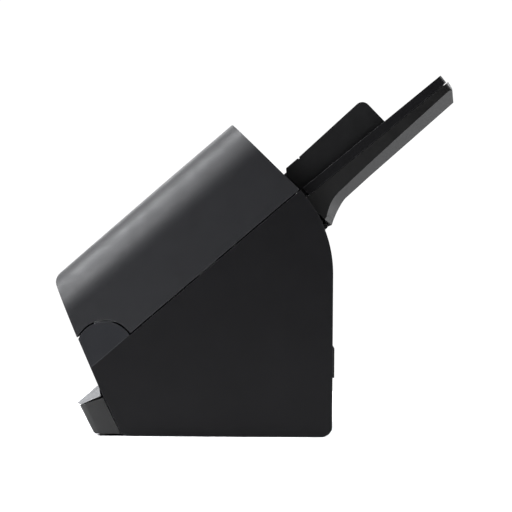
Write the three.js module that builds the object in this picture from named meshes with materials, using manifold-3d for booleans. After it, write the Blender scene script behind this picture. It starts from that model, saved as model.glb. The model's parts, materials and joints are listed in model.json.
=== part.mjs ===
// Sheet fed document scanner, in millimetres. +Z is up, the front faces -Y, X runs across the paper.
// Paper goes in at the top rear, down a sloping path between two halves, and out at the low front.
// The upper half swings forward on two pins, to open the whole path.
import * as THREE from "three";
import { mergeVertices } from "three/addons/utils/BufferGeometryUtils.js";
import Module from "manifold-3d";

const wasm = await Module();
wasm.setup();

// ---------------------------------------------------------------- driving dimensions
const HALF_WIDTH = 145.5; // outer face of the side covers
const SKIN = 2.6; // wall of the moulded covers
const SIDE_WALL = 3; // wall of the lower half's side covers
const BEHIND_FRAME = 136.2; // room for the drive starts here, outside the side frames
const FIT = 0.4; // gap between fixed neighbours
const SPLIT_GAP = 0.5; // each half stops this far from the middle of the paper path
const FLOOR_Z = 0.5; // underside of the body, held up by the feet
const FOOT = { r: 8, high: 1.6, places: [[118, -62], [-118, -62], [118, 26], [-118, 26]] };

// Slopes, turned about X from +Y towards +Z.
const PATH_TILT = THREE.MathUtils.degToRad(40.8);
const TRAY_TILT = THREE.MathUtils.degToRad(39.7);
const FACE_TILT = THREE.MathUtils.degToRad(41.2);

// Origins of the three sloping frames, as [y, z].
const PATH_ORIGIN = [-79.4, 65.4]; // low end of the straight split between the halves
const TRAY_ORIGIN = [28.8, 158.4]; // low end of the feed tray's rim
const FACE_ORIGIN = [-129.6, 100.3]; // low edge of the upper half's front face
const PATH_LENGTH = 141.2;

// The hinge of the upper half, in the path's frame and in the object's.
const HINGE = { u: -19.8, n: 2.3 };
const BOSS_RADIUS = 18.6;
const BOSS_RECESS = 19.8;

// Body outline.
const REAR_Y = 49.3;
const REAR_ARC = 77.7;
const REAR_ARC_Z = 104;
const FOOT_CORNER = 6;
const FRONT_EDGE = [[-79.5, FLOOR_Z], [-84.9, FLOOR_Z + 0.9], [-99.3, 30.6], [-111.9, 59.2]];

// Upper half.
const APEX = [-16.2, 200.1];
const LIP = [-113.7, 62.4]; // low front edge of the upper half
const SIDE_DRAFT = Math.tan(THREE.MathUtils.degToRad(2.6)); // its sides lean in
const CHEEK_RADIUS = 30; // rounding between its sides and its front face
const FACE_HEIGHT = 60.2; // front face above the split, along the path's normal
const CHIN_RADIUS = 7;

// Rollers: distance down the path, radius and the side of the path they are on.
const FEED = { u: 112, r: 12 };
const REGISTER = { u: 86, r: 8 };
const TRANSPORT = { u: 38, r: 8 };
const EJECT = { u: -14, r: 7 };
const SEPARATION_R = 10;
const PINCH_R = 5;
const EJECT_PINCH_R = 4;
const NIP = 0.15; // half the gap left between two rollers of a pair
const FEED_TYRES = { places: [-14, 14], half: 9 };
const DRIVE_TYRES = { places: [-52, 52], half: 14 };
const SHAFT = { r: 3, x0: -141.9, x1: 137.6 };
const PINCH_SHAFT_R = 1.6;

// Belt drive, outside the left side frame.
const PULLEY_SHARE = 0.55; // pulley radius over roller radius, one for all, so that paper speeds match
const PULLEY_X1 = -136.6;
const TOOTH = 0.6; // the belt's teeth sink this far into a pulley
const MOTOR = { u: 42, n: -46, r: 18, pulley: 6 };
const BELT = { inner: 0.35, thick: 1.2, x0: -141.4, x1: -137.4 };
const FRAME_X = [133.6, 135.6];
const ARM_X = [127.2, 132.8];

// Paper path: its sheets, above and below, and the scanning bars between them.
const LOWER_SHEET = { top: -1, under: -3.4 };
const UPPER_SHEET = { top: 3.8, under: 1.4 };
const SCAN = { u0: 51, u1: 73, half: 116, deep: 16 };
const HOOKS = [119, -119]; // the latch's two hooks

// Controls on the front face.
const PANEL = { x0: 54, x1: 108, f0: 66, f1: 138 };
const KEYS_X = 81;
const BUTTONS = [
  { name: "power_button", f: 128, w: 13, h: 8 },
  { name: "start_button", f: 88, w: 26, h: 11 },
  { name: "stop_button", f: 74, w: 26, h: 9 },
];
const DISPLAY = { f: 109, w: 28, h: 17 };
const LEVER = { u: 129, n: 14, half: 24 };

// Sockets at the back.
const PORT = { z0: 33.9, z1: 59.3, x0: -62, x1: -6, proud: 3.8 };

// Feed tray.
const TRAY_HALF = 120;
const TRAY_TIP = 115.8;
const PLATE = { top: -3.2, under: -5.6 };
const GUIDE = { inner: 108.5, thick: 2.6, travel: 80 };
const PINION = { t: 45, teeth: 14, module: 2, top: -6.8, under: -10.8, bore: 3.5 };
const PINION_R = (PINION.teeth * PINION.module) / 2;
const NECK_SHIFT = 18.5; // each guide's neck is this far to its own side of the pinion
const SLOT = { half: 106, w0: -16.2, w1: -12.4 }; // mouth of the tray's pull-out extension

// Output trays.
const OUT_HALF = 141;
const OUT_TRAY = { z0: 4.2, z1: 6.2, rear: 32, front: -84 };
const OUT_EXT = { z0: 6.6, z1: 8.4, rear: 26 };
const BIN = {
  front: [[-103, 1.5], [-112, 19.2]],
  rear: [[-85.4, 1.3], [-96.8, 24.2]],
  wall: 3,
};

const ROUND = 20; // sides of a small round part

// ---------------------------------------------------------------- small tools
const path = (u, n) => place(PATH_ORIGIN, PATH_TILT, u, n);
const tray = (t, w) => place(TRAY_ORIGIN, TRAY_TILT, t, w);
const face = (f, m) => place(FACE_ORIGIN, FACE_TILT, f, m);

function place([y, z], tilt, along, up) {
  const c = Math.cos(tilt);
  const s = Math.sin(tilt);
  return [y + along * c - up * s, z + along * s + up * c];
}

// Points of an arc, from one angle to another in radians, both ends included.
function arc([cy, cz], r, from, to, steps) {
  const points = [];
  for (let i = 0; i <= steps; i++) {
    const a = from + ((to - from) * i) / steps;
    points.push([cy + r * Math.cos(a), cz + r * Math.sin(a)]);
  }
  return points;
}

// Where two lines cross, each given by two points.
function cross([a, b], [c, d]) {
  const [rx, ry] = [b[0] - a[0], b[1] - a[1]];
  const [sx, sy] = [d[0] - c[0], d[1] - c[1]];
  const t = ((c[0] - a[0]) * sy - (c[1] - a[1]) * sx) / (rx * sy - ry * sx);
  return [a[0] + rx * t, a[1] + ry * t];
}

// Where the line from a through b leaves a circle.
function ontoCircle([a, b], [cy, cz], r) {
  const reach = Math.hypot(b[0] - a[0], b[1] - a[1]);
  const [dy, dz] = [(b[0] - a[0]) / reach, (b[1] - a[1]) / reach];
  const middle = (cy - a[0]) * dy + (cz - a[1]) * dz;
  const off = (cy - a[0]) * dz - (cz - a[1]) * dy;
  const t = middle + Math.sqrt(r * r - off * off);
  return [a[0] + dy * t, a[1] + dz * t];
}

// The corner b between a and c, replaced by an arc of radius r.
function rounded(a, b, c, r, steps) {
  const corner = new THREE.Vector2(...b);
  const A = new THREE.Vector2(...a).sub(corner).normalize();
  const C = new THREE.Vector2(...c).sub(corner).normalize();
  const half = Math.acos(THREE.MathUtils.clamp(A.dot(C), -1, 1)) / 2;
  const centre = A.clone().add(C).normalize().multiplyScalar(r / Math.sin(half)).add(corner);
  const touch = r / Math.tan(half);
  const start = A.multiplyScalar(touch).add(corner).sub(centre).angle();
  const end = C.multiplyScalar(touch).add(corner).sub(centre).angle();
  const turn = Math.atan2(Math.sin(end - start), Math.cos(end - start));
  return arc([centre.x, centre.y], r, start, start + turn, steps);
}

// A closed outline moved inwards by d. Its points run anticlockwise.
function inset(points, d) {
  const n = points.length;
  const edge = (i) => {
    const a = points[i % n];
    const b = points[(i + 1) % n];
    const l = Math.hypot(b[0] - a[0], b[1] - a[1]);
    const [ox, oy] = [(-(b[1] - a[1]) / l) * d, ((b[0] - a[0]) / l) * d];
    return [[a[0] + ox, a[1] + oy], [b[0] + ox, b[1] + oy]];
  };
  return points.map((_, i) => cross(edge(i + n - 1), edge(i)));
}

const shapeOf = (points) => new THREE.Shape(points.map((p) => new THREE.Vector2(p[0], p[1])));

// A plate of a flat outline, pulled from z0 to z1 along its own normal.
function slab(points, z0, z1, holes = []) {
  const shape = shapeOf(points);
  shape.holes = holes.map(shapeOf);
  return new THREE.ExtrudeGeometry(shape, { depth: z1 - z0, bevelEnabled: false }).translate(0, 0, z0);
}

// Turns a geometry so that its x, y and z become y, z and x.
const ACROSS = new THREE.Matrix4().set(0, 0, 1, 0, 1, 0, 0, 0, 0, 1, 0, 0, 0, 0, 0, 1);
// An outline in [y, z], pulled across from x0 to x1.
const across = (points, x0, x1) => slab(points, x0, x1).applyMatrix4(ACROSS);
// An outline in [x, z], pulled along y from y0 to y1.
const along = (points, y0, y1) => slab(points, -y1, -y0).rotateX(Math.PI / 2);

function block(x0, x1, y0, y1, z0, z1) {
  return new THREE.BoxGeometry(x1 - x0, y1 - y0, z1 - z0)
    .translate((x0 + x1) / 2, (y0 + y1) / 2, (z0 + z1) / 2);
}

// A cylinder along X whose axis passes through [y, z].
function rod([y, z], r, x0, x1, sides = ROUND) {
  return new THREE.CylinderGeometry(r, r, x1 - x0, sides).rotateZ(Math.PI / 2)
    .translate((x0 + x1) / 2, y, z);
}

// A turned piece about X, centred on its own axis. steps holds [x, radius] pairs.
function turned(steps, sides = ROUND) {
  const points = [[steps[0][0], 0], ...steps, [steps.at(-1)[0], 0]];
  return new THREE.LatheGeometry(points.map(([x, r]) => new THREE.Vector2(r, x)), sides)
    .rotateZ(-Math.PI / 2);
}

// A ring about X with a bore, centred on its own axis.
function ring(r, bore, x0, x1, sides = ROUND) {
  const profile = [[bore, x0], [r, x0], [r, x1], [bore, x1], [bore, x0]];
  return new THREE.LatheGeometry(profile.map(([a, b]) => new THREE.Vector2(a, b)), sides)
    .rotateZ(-Math.PI / 2);
}

function solid(geometry) {
  const g = geometry.clone();
  for (const name of Object.keys(g.attributes)) {
    if (name !== "position") g.deleteAttribute(name);
  }
  const merged = mergeVertices(g, 1e-3);
  return new wasm.Manifold(new wasm.Mesh({
    numProp: 3,
    vertProperties: new Float32Array(merged.attributes.position.array),
    triVerts: new Uint32Array(merged.index.array),
  }));
}

function geometryOf(manifold) {
  const mesh = manifold.getMesh();
  const g = new THREE.BufferGeometry();
  g.setAttribute("position", new THREE.BufferAttribute(new Float32Array(mesh.vertProperties), 3));
  g.setIndex(new THREE.BufferAttribute(new Uint32Array(mesh.triVerts), 1));
  g.computeVertexNormals();
  return g;
}

const join = (...parts) => geometryOf(parts.map(solid).reduce((a, b) => a.add(b)));
const cut = (from, ...tools) =>
  geometryOf(tools.map(solid).reduce((a, b) => a.subtract(b), solid(from)));
const common = (a, b) => geometryOf(solid(a).intersect(solid(b)));

// A piece scaled by -1 along one axis, with its faces turned back outwards.
function reflected(geometry, x, y, z) {
  const g = geometry.clone().scale(x, y, z);
  const index = g.index.array;
  for (let i = 0; i < index.length; i += 3) {
    [index[i + 1], index[i + 2]] = [index[i + 2], index[i + 1]];
  }
  return g;
}

// The same piece on the other side of the middle plane, or of the paper path.
const mirrored = (geometry) => reflected(geometry, -1, 1, 1);
const flipped = (geometry) => reflected(geometry, 1, 1, -1);

// The outline of a small round hole.
const hole = (a, b, r) => arc([a, b], r, 0, Math.PI * 2 * (1 - 1 / 16), 15);

const ascending = (a, b) => (a < b ? [a, b] : [b, a]);
const mirrorInX = (half) => [...half, ...half.map(([x, v]) => [-x, v]).reverse()];

// A skin through rings of equal length, closed by a flat cap at each end.
function loft(rings) {
  const n = rings[0].length;
  const positions = rings.flat(2);
  const index = [];
  for (let i = 0; i + 1 < rings.length; i++) {
    for (let j = 0; j < n; j++) {
      const [a, b] = [i * n + j, i * n + ((j + 1) % n)];
      index.push(a, b + n, b, a, a + n, b + n);
    }
  }
  const flat = rings[0].map((p) => new THREE.Vector2(p[0], p[2]));
  for (const [a, b, c] of THREE.ShapeUtils.triangulateShape(flat, [])) {
    const last = (rings.length - 1) * n;
    index.push(a, b, c, last + c, last + b, last + a);
  }
  const g = new THREE.BufferGeometry();
  g.setAttribute("position", new THREE.Float32BufferAttribute(positions, 3));
  g.setIndex(index);
  return g;
}

// ---------------------------------------------------------------- materials and scene
const material = (color, roughness, metalness) =>
  new THREE.MeshStandardMaterial({ color, roughness, metalness });
const plastic = (color, roughness) => material(color, roughness, 0);
const metal = (color, roughness) => material(color, roughness, 1);
const M = {
  cover: plastic(0x2c2d31, 0.42),
  body: plastic(0x1d1e20, 0.55),
  tray: plastic(0x1a1a1b, 0.5),
  inner: plastic(0x141415, 0.6),
  gloss: plastic(0x08080a, 0.12),
  button: plastic(0x3a3b3e, 0.4),
  display: plastic(0x101418, 0.08),
  steel: metal(0xb8bbbf, 0.35),
  frame: metal(0x9a9da1, 0.45),
  rubber: plastic(0x30302f, 0.85),
  grip: plastic(0x6f7072, 0.8),
  roller: plastic(0xd8d8d2, 0.5),
  glass: plastic(0x9fb0b4, 0.05),
  board: plastic(0x1f5a34, 0.5),
  connector: metal(0x8c8f92, 0.4),
  socket: plastic(0x0c0c0c, 0.5),
};

const scanner = new THREE.Group();
const sloping = ([y, z], tilt) => {
  const group = new THREE.Group();
  group.position.set(0, y, z);
  group.rotation.x = tilt;
  scanner.add(group);
  return group;
};
const pathGroup = sloping(PATH_ORIGIN, PATH_TILT);
const trayGroup = sloping(TRAY_ORIGIN, TRAY_TILT);
const faceGroup = sloping(FACE_ORIGIN, FACE_TILT);

function add(group, name, geometry, material, position = [0, 0, 0]) {
  const mesh = new THREE.Mesh(geometry, material);
  mesh.name = name;
  mesh.position.set(...position);
  group.add(mesh);
  return mesh;
}

// ---------------------------------------------------------------- outlines
const BOSS = path(HINGE.u, HINGE.n);

// The side of the lower half, in [y, z], anticlockwise.
function bodyOutline() {
  const corner = path(PATH_LENGTH, -SPLIT_GAP);
  const centre = [REAR_Y - REAR_ARC, REAR_ARC_Z];
  const top = Math.atan2(corner[1] - centre[1], corner[0] - centre[0]);
  const reach = Math.asin((HINGE.n + SPLIT_GAP) / BOSS_RADIUS);
  const meet = ontoCircle(FRONT_EDGE.slice(2), BOSS, BOSS_RADIUS);
  const front = Math.atan2(meet[1] - BOSS[1], meet[0] - BOSS[0]);
  return [
    ...FRONT_EDGE.slice(0, 3).reverse(),
    ...rounded([0, FLOOR_Z], [REAR_Y, FLOOR_Z], [REAR_Y, REAR_ARC_Z], FOOT_CORNER, 4),
    ...arc(centre, REAR_ARC, 0, top, 8),
    ...arc(BOSS, BOSS_RADIUS, PATH_TILT - reach, front, 12),
  ];
}

// The side of the upper half, in [y, z], anticlockwise, moved inwards by d. The round recess for
// the boss is cut out of it later.
function upperOutline(d) {
  const split = [path(0, SPLIT_GAP), path(PATH_LENGTH, SPLIT_GAP)];
  const foot = cross([face(0, 0), LIP], split);
  const [low, high, chin, front] = inset([split[1], APEX, face(0, 0), foot], d);
  return [low, high, ...rounded(high, chin, front, CHIN_RADIUS - d, 4), front];
}

// The section across the slope, in [x, n]: upright below the split, then sides that lean in
// and round over into the front face. d moves it inwards.
function sectionOutline(d) {
  const roof = FACE_HEIGHT - d;
  const foot = HALF_WIDTH - d;
  const edge = foot - roof * SIDE_DRAFT;
  const right = rounded([foot, 0], [edge, roof], [0, roof], CHEEK_RADIUS - d, 7);
  return mirrorInX([[foot, -130], [foot, 0], ...right]);
}

// The same section as a long bar lying along the slope.
const sectionBar = (d) => along(sectionOutline(d), -80, 230).rotateX(PATH_TILT)
  .translate(0, ...PATH_ORIGIN);

// ---------------------------------------------------------------- lower half: covers
function sideCover(sign) {
  const outline = bodyOutline();
  const inner = HALF_WIDTH - SIDE_WALL;
  const plate = across(outline, inner, HALF_WIDTH + 5);
  // The rim is what is left of the outline round the boss, above the split.
  const far = 300;
  const below = across([path(-far, -far), path(far, -far), path(far, -1), path(-far, -1)], 130, 150);
  const behind = across([path(0, -far), path(far, -far), path(far, far), path(0, far)], 130, 150);
  const rim = cut(
    across(outline, BEHIND_FRAME, inner + 0.5),
    rod(BOSS, BOSS_RADIUS - 2.4, 130, 150, 40), below, behind,
  );
  const pinBoss = rod(BOSS, 5.8, BEHIND_FRAME, inner + 0.5);
  const ledge = block(BEHIND_FRAME, inner + 0.5, 6, 138, -2.2, -SPLIT_GAP - 0.1)
    .rotateX(PATH_TILT).translate(0, ...PATH_ORIGIN);
  const whole = common(join(plate, rim, pinBoss, ledge), sectionBar(0));
  return sign > 0 ? whole : mirrored(whole);
}

function rearCover() {
  const half = HALF_WIDTH - SIDE_WALL - FIT;
  const centre = [REAR_Y - REAR_ARC, REAR_ARC_Z];
  const corner = THREE.MathUtils.degToRad(42.6);
  const [wallY, floor] = [REAR_Y - SKIN, FLOOR_Z + SKIN];
  const outer = [
    [40, FLOOR_Z],
    ...rounded([0, FLOOR_Z], [REAR_Y, FLOOR_Z], [REAR_Y, REAR_ARC_Z], FOOT_CORNER, 4),
    ...arc(centre, REAR_ARC, 0, corner, 8),
  ];
  const inner = [
    ...arc(centre, REAR_ARC - SKIN, corner, 0, 8),
    ...rounded([wallY, REAR_ARC_Z], [wallY, floor], [0, floor], FOOT_CORNER - SKIN, 3),
    [40, floor],
  ];
  // The ledge that the feed tray hooks on.
  const ledge = [[41.2, 133], [44.2, 132.2], [46.4, 134.4], [42.2, 141.2], [40.6, 139.4]];
  const shell = join(across([...outer, ...inner], -half, half), across(ledge, -100, 100));
  const window = block(PORT.x0 + 3, PORT.x1 - 3, 40, 60, PORT.z0 + 3, PORT.z1 - 3);
  const trayGap = block(-TRAY_HALF - 1, TRAY_HALF + 1, 0, 60, 136, 180);
  return cut(shell, window, trayGap);
}

const socketHoles = () => [[PORT.x0 + 6, PORT.x0 + 22], [PORT.x1 - 24, PORT.x1 - 6]]
  .map(([x0, x1]) => block(x0, x1, 40, 60, 38.5, 52.5));

function portBezel() {
  const side = [
    [REAR_Y + FIT, PORT.z0], [REAR_Y + PORT.proud, PORT.z0],
    [REAR_Y + PORT.proud, PORT.z1 - 5.4], [REAR_Y + FIT, PORT.z1],
  ];
  return cut(across(side, PORT.x0, PORT.x1), ...socketHoles());
}

function foot() {
  return new THREE.CylinderGeometry(FOOT.r, FOOT.r, FOOT.high, ROUND).rotateX(Math.PI / 2);
}

// The body's floor, with low walls that the output trays slide between, and pockets for the feet.
function basePan() {
  const half = HALF_WIDTH - SIDE_WALL - FIT;
  const pocket = FOOT.high + 0.3;
  const floor = block(-half, half, -79, 39.4, FLOOR_Z, FLOOR_Z + 2.2);
  const rails = [1, -1].map((s) => block(...ascending(s * 124, s * 130), -76, 36, FLOOR_Z + 1, 12));
  const pockets = FOOT.places.map(([x, y]) =>
    new THREE.CylinderGeometry(FOOT.r + FIT, FOOT.r + FIT, 2 * pocket, ROUND)
      .rotateX(Math.PI / 2).translate(x, y, 0));
  return cut(join(floor, ...rails), ...pockets);
}

// The panel below the paper exit, with a lip that turns in under the exit.
function frontPanel() {
  const half = HALF_WIDTH - SIDE_WALL - FIT;
  const skin = 2.4;
  const line = [[-89.6, 10.6], [-99.4, 31], [-101.6, 36.4], [-93, 40.2]];
  const back = [[-93, 40.2 - skin], [-98.4, 35.4], [-96.9, 31.6], [-87, 11]];
  return across([...line, ...back].reverse(), -half, half);
}

// Round cross-member over the exit, between the hinge arms.
function exitNose() {
  const half = 126.2;
  const under = 0.9;
  const disc = common(
    rod(BOSS, BOSS_RADIUS, -half, half, 40),
    across([path(-70, under), path(20, under), path(20, 40), path(-70, 40)], -half, half),
  );
  // The body's front edge, carried on upwards, cuts the nose off in front.
  const [, , low, high] = FRONT_EDGE;
  const [runY, runZ] = [low[0] - high[0], low[1] - high[1]];
  const edgeY = high[0] + 0.6;
  const front = across([
    [edgeY + runY * 2, high[1] + runZ * 2], [edgeY - runY, high[1] - runZ], [-160, 110], [-160, 0],
  ], -150, 150);
  const pocket = across([path(-20.4, 0), path(-7.6, 0), path(-7.6, 9), path(-20.4, 9)], -84, 84);
  const groove = across([path(-5.6, 0), path(-2.6, 0), path(-2.6, 2.5), path(-5.6, 2.5)], -120, 120);
  return cut(disc, front, pocket, groove);
}

// ---------------------------------------------------------------- lower half: frames and path
// Pressed steel side frame, with holes for the shafts and an ear for the hinge pin.
function sideFrame() {
  const outline = [
    [-27, -8], [-24, -30], [20, -58], [88, -70], [104, -62], [122, -38], [134, -1.2], [2, -1.2],
    [-5, 2], ...arc([HINGE.u, HINGE.n], 9.5, 0.1, 3.1, 8),
  ];
  const holes = [
    ...[FEED, REGISTER, TRANSPORT, EJECT].map(({ u, r }) => hole(u, -r - NIP, SHAFT.r + 1.5)),
    hole(MOTOR.u, MOTOR.n, 5), hole(HINGE.u, HINGE.n, 4.4),
  ];
  return join(slab(outline.reverse(), ...FRAME_X, holes).applyMatrix4(ACROSS));
}

// A pair of windows in a guide, one around each tyre.
function tyreWindows({ u }, { places, half }, reach, n0, n1) {
  const reachX = half + 1.5;
  return places.map((x) => block(x - reachX, x + reachX, u - reach, u + reach, n0, n1));
}

function lowerGuide() {
  const { top, under } = LOWER_SHEET;
  const wide = block(-133.2, 133.2, 5, 136.6, under, top);
  const narrow = block(-123.6, 123.6, -21.5, 6, under, top);
  const lip = [[-25.6, -5], [-25.6, -3.2], [-21.4, top], [-21.4, under]];
  const ribs = [-96, -32, 32, 96].map((x) => block(x - 1, x + 1, 4, 30, under - 4, under + 0.5));
  return cut(
    join(wide, narrow, across(lip, -123.6, 123.6), ...ribs),
    ...tyreWindows(FEED, FEED_TYRES, 8.6, -6, 2),
    ...tyreWindows(REGISTER, DRIVE_TYRES, 7.2, -6, 2),
    ...tyreWindows(TRANSPORT, DRIVE_TYRES, 7.2, -6, 2),
    ...tyreWindows(EJECT, DRIVE_TYRES, 6.9, -9, 2),
    block(-SCAN.half, SCAN.half, SCAN.u0, SCAN.u1, -6, 2),
    ...HOOKS.map((x) => block(x - 4, x + 4, 121, 130.6, -6, 2)),
  );
}

// Contact image sensor bar, open where its glass sits. It lies below the path.
function scanUnit() {
  const [u0, u1] = [SCAN.u0 + 0.8, SCAN.u1 - 0.8];
  const half = SCAN.half - 1;
  const housing = block(-half, half, u0, u1, -SCAN.deep, -2.6);
  const rims = block(-half, half, u0, u1, -3.4, -1.2);
  return cut(join(housing, rims), block(-half + 3, half - 3, u0 + 2, u1 - 2, -3, 0));
}

function scanGlass() {
  const half = SCAN.half - 4.4;
  return join(block(-half, half, SCAN.u0 + 3.2, SCAN.u1 - 3.2, -2.6, -1));
}

// ---------------------------------------------------------------- drive
// A driven shaft with its belt pulley on the left end. seats are its thicker parts, under the tyres.
function drivenShaft(roller, seats) {
  const pulley = roller.r * PULLEY_SHARE - TOOTH;
  return turned([
    [SHAFT.x0, pulley], [PULLEY_X1, pulley], [PULLEY_X1, SHAFT.r],
    ...seats.flatMap(([x0, x1, r]) => [[x0, SHAFT.r], [x0, r], [x1, r], [x1, SHAFT.r]]),
    [SHAFT.x1, SHAFT.r],
  ]);
}

const axisOf = (roller) => [0, roller.u, -roller.r - NIP];

// A driven roller: its shaft, and a tyre on each of the two seats.
function addDriven(name, roller, { places, half }, seat) {
  const seats = places.map((x) => [x - half + 1, x + half - 1, seat]);
  add(pathGroup, `${name}_shaft`, drivenShaft(roller, seats), M.steel, axisOf(roller));
  for (const x of places) {
    const tyre = ring(roller.r, seat + FIT, x - half, x + half);
    add(pathGroup, `${name}_tyre_${x > 0 ? "right" : "left"}`, tyre, M.grip, axisOf(roller));
  }
}

// The eject roller is moulded in one piece.
function ejectRoller() {
  const { places, half } = DRIVE_TYRES;
  return drivenShaft(EJECT, places.map((x) => [x - half, x + half, EJECT.r]));
}

function motorPulley() {
  const r = MOTOR.pulley - TOOTH;
  return turned([[SHAFT.x0, r], [PULLEY_X1, r], [PULLEY_X1, 2.4], [-131.2, 2.4]]);
}

function driveMotor() {
  return turned([
    [-131, MOTOR.r - 4], [-131, MOTOR.r], [-104, MOTOR.r], [-104, MOTOR.r - 8], [-101, MOTOR.r - 8],
  ], 24);
}

// A free roller pair on one thin shaft, pressed against a driven pair.
function pinchRoller(r, end) {
  const { places, half } = DRIVE_TYRES;
  return turned([
    [-end, PINCH_SHAFT_R],
    ...places.flatMap((x) => [
      [x - half, PINCH_SHAFT_R], [x - half, r], [x + half, r], [x + half, PINCH_SHAFT_R]]),
    [end, PINCH_SHAFT_R],
  ], 16);
}

// Outline of a band stretched round all the pulleys, at a distance from them.
function bandOutline(distance) {
  const pulleys = [FEED, REGISTER, TRANSPORT, EJECT]
    .map(({ u, r }) => [u, -r - NIP, r * PULLEY_SHARE - TOOTH]);
  pulleys.push([MOTOR.u, MOTOR.n, MOTOR.pulley - TOOTH]);
  const end = Math.PI * 2 * (1 - 1 / 24);
  return convexHull(pulleys.flatMap(([u, n, r]) => arc([u, n], r + distance, 0, end, 23)));
}

function convexHull(points) {
  const sorted = points.slice().sort((a, b) => a[0] - b[0] || a[1] - b[1]);
  const turn = (o, a, b) => (a[0] - o[0]) * (b[1] - o[1]) - (a[1] - o[1]) * (b[0] - o[0]);
  const chain = (list) => {
    const kept = [];
    for (const p of list) {
      while (kept.length > 1 && turn(kept.at(-2), kept.at(-1), p) <= 1e-6) kept.pop();
      kept.push(p);
    }
    return kept.slice(0, -1);
  };
  return [...chain(sorted), ...chain(sorted.reverse())];
}

function driveBelt() {
  const outer = bandOutline(BELT.inner + BELT.thick);
  const inner = bandOutline(BELT.inner);
  return cut(across(outer, BELT.x0, BELT.x1), across(inner, BELT.x0 - 1, BELT.x1 + 1));
}

// ---------------------------------------------------------------- upper half
function frontCover() {
  const hull = (d) => cut(
    common(across(upperOutline(d), -150, 150), sectionBar(d)),
    rod(BOSS, BOSS_RECESS + d, -160, 160, 40),
  );
  const [n0, n1] = [-2, SKIN + 4];
  const inner = HALF_WIDTH - SKIN - 0.6;
  const mouth = across([
    path(3.4, n0), path(PATH_LENGTH - 3, n0), path(PATH_LENGTH - 4.6, n1), path(3.4, n1),
  ], -inner, inner);
  const gap = 0.3;
  const window = block(PANEL.x0 - gap, PANEL.x1 + gap, PANEL.f0 - gap, PANEL.f1 + gap, -8, 4)
    .rotateX(FACE_TILT).translate(0, ...FACE_ORIGIN);
  const armMiddle = (ARM_X[0] + ARM_X[1]) / 2;
  const armGaps = [armMiddle, -armMiddle].map((x) => across(
    [path(-15, 8), path(6, 8), path(6, 30), path(-15, 30)], x - 3.6, x + 3.6));
  const leverGap = block(-LEVER.half - 1, LEVER.half + 1, PATH_LENGTH - 14, PATH_LENGTH + 14, 9, 30)
    .rotateX(PATH_TILT).translate(0, ...PATH_ORIGIN);
  return cut(hull(0), hull(SKIN), mouth, window, leverGap, ...armGaps);
}

function upperGuide() {
  const { top, under } = UPPER_SHEET;
  return cut(
    block(-141.4, 141.4, 4.6, PATH_LENGTH - 4, under, top),
    block(-20, 20, FEED.u - 8.6, FEED.u + 8.6, 0, 6),
    ...tyreWindows(REGISTER, DRIVE_TYRES, 5.6, 0, 6),
    ...tyreWindows(TRANSPORT, DRIVE_TYRES, 5.6, 0, 6),
    block(-SCAN.half, SCAN.half, SCAN.u0, SCAN.u1, 0, 6),
    ...HOOKS.map((x) => block(x - 4, x + 4, 122, 133.4, 0, 6)),
    ...[REGISTER, TRANSPORT].map(({ u }) => block(-76, 76, u - 2.4, u + 2.4, 3, 6)),
  );
}

// Arm of the upper half, with the eye that turns on the hinge pin.
function upperFrame() {
  const outline = [
    ...arc([HINGE.u, HINGE.n], 7.4, Math.PI * 0.8, Math.PI * 1.8, 10),
    [-9.4, 12.4], [4, 12.4], [4, 4.4], [132, 4.4], [132, 26], [110, 34], [2, 34], [-13, 22],
  ];
  const holes = [hole(HINGE.u, HINGE.n, 4.4), hole(FEED.u, SEPARATION_R + NIP, 3.4)];
  return join(slab(outline, ...ARM_X, holes).applyMatrix4(ACROSS));
}

function separationShaft() {
  const seat = 17.4;
  return turned([
    [-124, SHAFT.r], [-seat, SHAFT.r], [-seat, 6.6], [seat, 6.6], [seat, SHAFT.r], [124, SHAFT.r],
  ]);
}

// The cross shaft of the latch, with its two hooks and the thumb paddle in the middle.
function releaseLever() {
  const shaft = turned([[-124, SHAFT.r], [124, SHAFT.r]], 12);
  const reach = LEVER.n + 6.4; // down to the hook's point, below the lower sheet
  const profile = [
    [3, 0], [0.2, 2.6 - reach], [2.8, 2.4 - reach], [2.8, 1 - reach], [-0.4, -reach],
    [-3, 1.8 - reach], [-3, 0],
  ];
  const hooks = HOOKS.map((x) => across(profile, x - 1.6, x + 1.6));
  const thumb = [[-1.5, 1], [1.5, -1.6], [9.4, 3.6], [9.6, 5.6], [8.2, 6.2]];
  return join(shaft, ...hooks, across(thumb, -LEVER.half, LEVER.half));
}

// The glossy sheet round the keys, with a hole for each of them and for the display.
function controlPanel() {
  const holes = [...BUTTONS, DISPLAY].map(({ f, w, h }) => {
    const [a, b] = [w / 2 + FIT, h / 2 + FIT];
    return block(KEYS_X - a, KEYS_X + a, f - b, f + b, -6, 2);
  });
  return cut(block(PANEL.x0, PANEL.x1, PANEL.f0, PANEL.f1, -3, -0.3), ...holes);
}

// ---------------------------------------------------------------- feed tray
// The underside of the tray: depth of its side walls and of its floor below the rim, along its length.
const TRAY_SECTIONS = [
  [0.8, 24.6, 30.2], [4.8, 21.4, 27.8], [11.5, 17.9, 24.6], [19, 16.5, 22.4], [112.2, 11, 18.8],
];
const SHELL_TOP = -6.3;

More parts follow.
